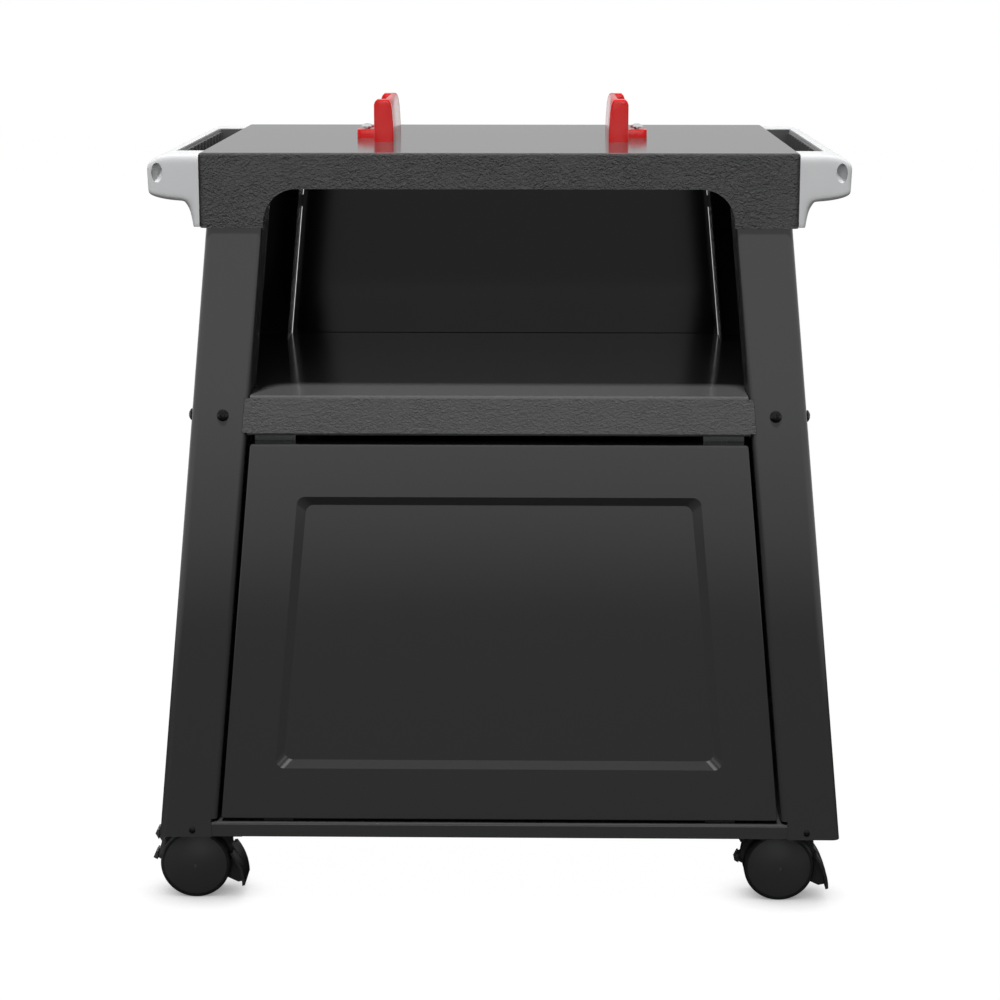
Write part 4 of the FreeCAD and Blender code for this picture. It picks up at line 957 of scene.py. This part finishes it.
class CART_OT_set_stage(bpy.types.Operator):
    """Lay the pale floor, hang the soft lamps and stand the camera where the photo was taken"""

    bl_idname = "cart.set_stage"
    bl_label = "Set Stage"

    def execute(self, context):
        studio = context.scene.cart_studio
        self.lay_floor(studio)
        self.light_sky(studio)
        middle, front, reach = (0, 0, 0.5), (0, -0.2, 0.5), studio.side_reach
        self.hang_lamp("overhead_lamp", studio.key_place, front, studio.key_width, studio.key_power)
        self.hang_lamp("front_lamp", studio.fill_place, middle, studio.fill_width, studio.fill_power)
        for name, spot in (("left", (-reach, 0, 1.6)), ("right", (reach, 0, 1.6)), ("rear", (0, reach, 1.7))):
            self.hang_lamp(f"{name}_lamp", spot, middle, studio.side_width, studio.side_power)
        self.place_camera(context, studio)
        context.scene.view_settings.view_transform = "Standard"
        return {"FINISHED"}

    def lay_floor(self, studio):
        """White where it is seen, with soft shadows painted into its glow near the wheels. In gloss it is
        dark near the cart.
        """
        clear_selection()
        floor_size, glow_share = 24, 0.94
        white, half_bright, rest = 1.06, 0.50, 0.42
        bpy.ops.mesh.primitive_plane_add(size=floor_size)
        floor = settle(bpy.context.object, "studio_floor")
        finish = Finish("floor_white")
        shade = studio.floor_shade
        finish.set(Base_Color=(shade, shade, shade, 1), Roughness=0.9, Specular_IOR_Level=0.0)
        path = finish.add("ShaderNodeLightPath")
        camera, gloss = path.outputs["Is Camera Ray"], path.outputs["Is Glossy Ray"]
        distance = finish.add("ShaderNodeVectorMath", operation="LENGTH")
        finish.join(finish.place, distance.inputs[0])
        reach = distance.outputs["Value"]
        first = finish.remap(reach, studio.dark_reach, studio.half_reach, 0.0, half_bright)
        second = finish.remap(reach, studio.half_reach, studio.bright_reach, 0.0, rest)
        # Painted shadow: ambient occlusion darkens the floor's glow near the wheels.
        nearby = finish.add("ShaderNodeAmbientOcclusion", samples=8)
        nearby.inputs["Distance"].default_value = studio.contact_reach
        painted_contact_shadow = finish.remap(nearby.outputs["AO"], 0.15, 0.85, 0.25, 1.0)
        seen = finish.math("MULTIPLY", finish.math("MULTIPLY", camera, white), painted_contact_shadow)
        mirrored = finish.math("MULTIPLY", gloss, finish.math("ADD", first, second))
        glow = finish.add("ShaderNodeEmission")
        glow.inputs["Color"].default_value = (1, 1, 1, 1)
        finish.join(finish.math("ADD", seen, mirrored), glow.inputs["Strength"])
        mix = finish.add("ShaderNodeMixShader")
        share = finish.math("MAXIMUM", finish.math("MULTIPLY", camera, glow_share), gloss)
        sources = (share, finish.shader.outputs["BSDF"], glow.outputs["Emission"])
        for source, target in zip(sources, mix.inputs):
            finish.join(source, target)
        finish.join(mix.outputs["Shader"], finish.tree.nodes["Material Output"].inputs["Surface"])
        paint(floor, finish.material)

    def light_sky(self, studio):
        """White where it is seen, pale behind and dark in front in gloss, and a dim, even light elsewhere."""
        world = bpy.data.worlds.new("studio_sky")
        bpy.context.scene.world = world
        world.use_nodes = True
        sky = Tree(world.node_tree)
        path = sky.add("ShaderNodeLightPath")
        split = sky.add("ShaderNodeSeparateXYZ")
        sky.join(sky.add("ShaderNodeTexCoord").outputs["Generated"], split.inputs["Vector"])
        side, depth, height = split.outputs["X"], split.outputs["Y"], split.outputs["Z"]
        above = sky.remap(height, -0.002, 0.0, 0.0, 1.0)
        front = sky.remap(depth, -0.05, -0.30, 0.0, 1.0)
        low = sky.remap(height, 0.86, 0.98, 1.0, 0.0)
        shaded = sky.math("MULTIPLY", front, sky.math("MULTIPLY", low, above))
        panel_foot = sky.remap(height, 0.09, 0.11, 0.0, 1.0)
        panel_top = sky.remap(height, 0.24, 0.27, 1.0, 0.0)
        panel_sides = sky.remap(sky.math("MULTIPLY", side, side), 0.03, 0.05, 1.0, 0.0)
        panel = sky.math("MULTIPLY", sky.math("MULTIPLY", panel_foot, panel_top), panel_sides)
        dome = sky.choose(above, 1.0, sky.remap(height, 0.10, 0.45, studio.horizon, 1.0))
        dome = sky.choose(shaded, dome, studio.front_shade)
        dome = sky.choose(sky.math("MULTIPLY", front, panel), dome, studio.glint)
        light = sky.choose(path.outputs["Is Glossy Ray"], studio.sky, dome)
        for ray in ("Is Transmission Ray", "Is Camera Ray"):
            light = sky.choose(path.outputs[ray], light, 1.0)
        background = world.node_tree.nodes["Background"]
        background.inputs["Color"].default_value = (1, 1, 1, 1)
        sky.join(light, background.inputs["Strength"])

    def hang_lamp(self, name, spot, target, width, watts):
        """A square lamp that gloss doesn't show."""
        data = bpy.data.lights.new(name, "AREA")
        data.shape = "SQUARE"
        data.size = width
        data.energy = watts
        lamp = bpy.data.objects.new(name, data)
        bpy.context.scene.collection.objects.link(lamp)
        lamp.location = spot
        aim = Vector(target) - Vector(spot)
        lamp.rotation_euler = aim.to_track_quat("-Z", "Y").to_euler()
        lamp.visible_glossy = False

    def place_camera(self, context, studio):
        """The camera at the photo's place and angle."""
        data = bpy.data.cameras.new("photo_camera")
        data.lens = studio.lens
        camera = bpy.data.objects.new("photo_camera", data)
        context.scene.collection.objects.link(camera)
        camera.location = studio.camera_place
        camera.rotation_euler = (studio.camera_tilt, 0, studio.camera_turn)
        context.scene.camera = camera


class CART_PT_looks(bpy.types.Panel):
    """One button for each step"""

    bl_label = "Grill Cart"
    bl_idname = "CART_PT_looks"
    bl_space_type = "VIEW_3D"
    bl_region_type = "UI"
    bl_category = "Grill Cart"

    def draw(self, context):
        column = self.layout.column(align=True)
        for operator in OPERATORS:
            column.operator(operator.bl_idname)


SETTINGS = {
    "cart_finishes": CartFinishes,
    "cart_back_sheet": CartBackSheet,
    "cart_handles": CartHandles,
    "cart_brackets": CartBrackets,
    "cart_screws": CartScrews,
    "cart_studio": CartStudio,
}
OPERATORS = (
    CART_OT_coat_sheet_metal,
    CART_OT_finish_moulded_parts,
    CART_OT_mould_handles,
    CART_OT_mould_brackets,
    CART_OT_drive_screws,
    CART_OT_set_stage,
)


def register():
    for item in (*SETTINGS.values(), *OPERATORS, CART_PT_looks):
        bpy.utils.register_class(item)
    for name, group in SETTINGS.items():
        setattr(bpy.types.Scene, name, bpy.props.PointerProperty(type=group))


def unregister():
    for name in SETTINGS:
        delattr(bpy.types.Scene, name)
    for item in reversed((*SETTINGS.values(), *OPERATORS, CART_PT_looks)):
        bpy.utils.unregister_class(item)


def main():
    register()
    bpy.ops.cart.coat_sheet_metal()
    bpy.ops.cart.finish_moulded_parts()
    bpy.ops.cart.mould_handles()
    bpy.ops.cart.mould_brackets()
    bpy.ops.cart.drive_screws()
    bpy.ops.cart.set_stage()


if __name__ == "__main__":
    main()
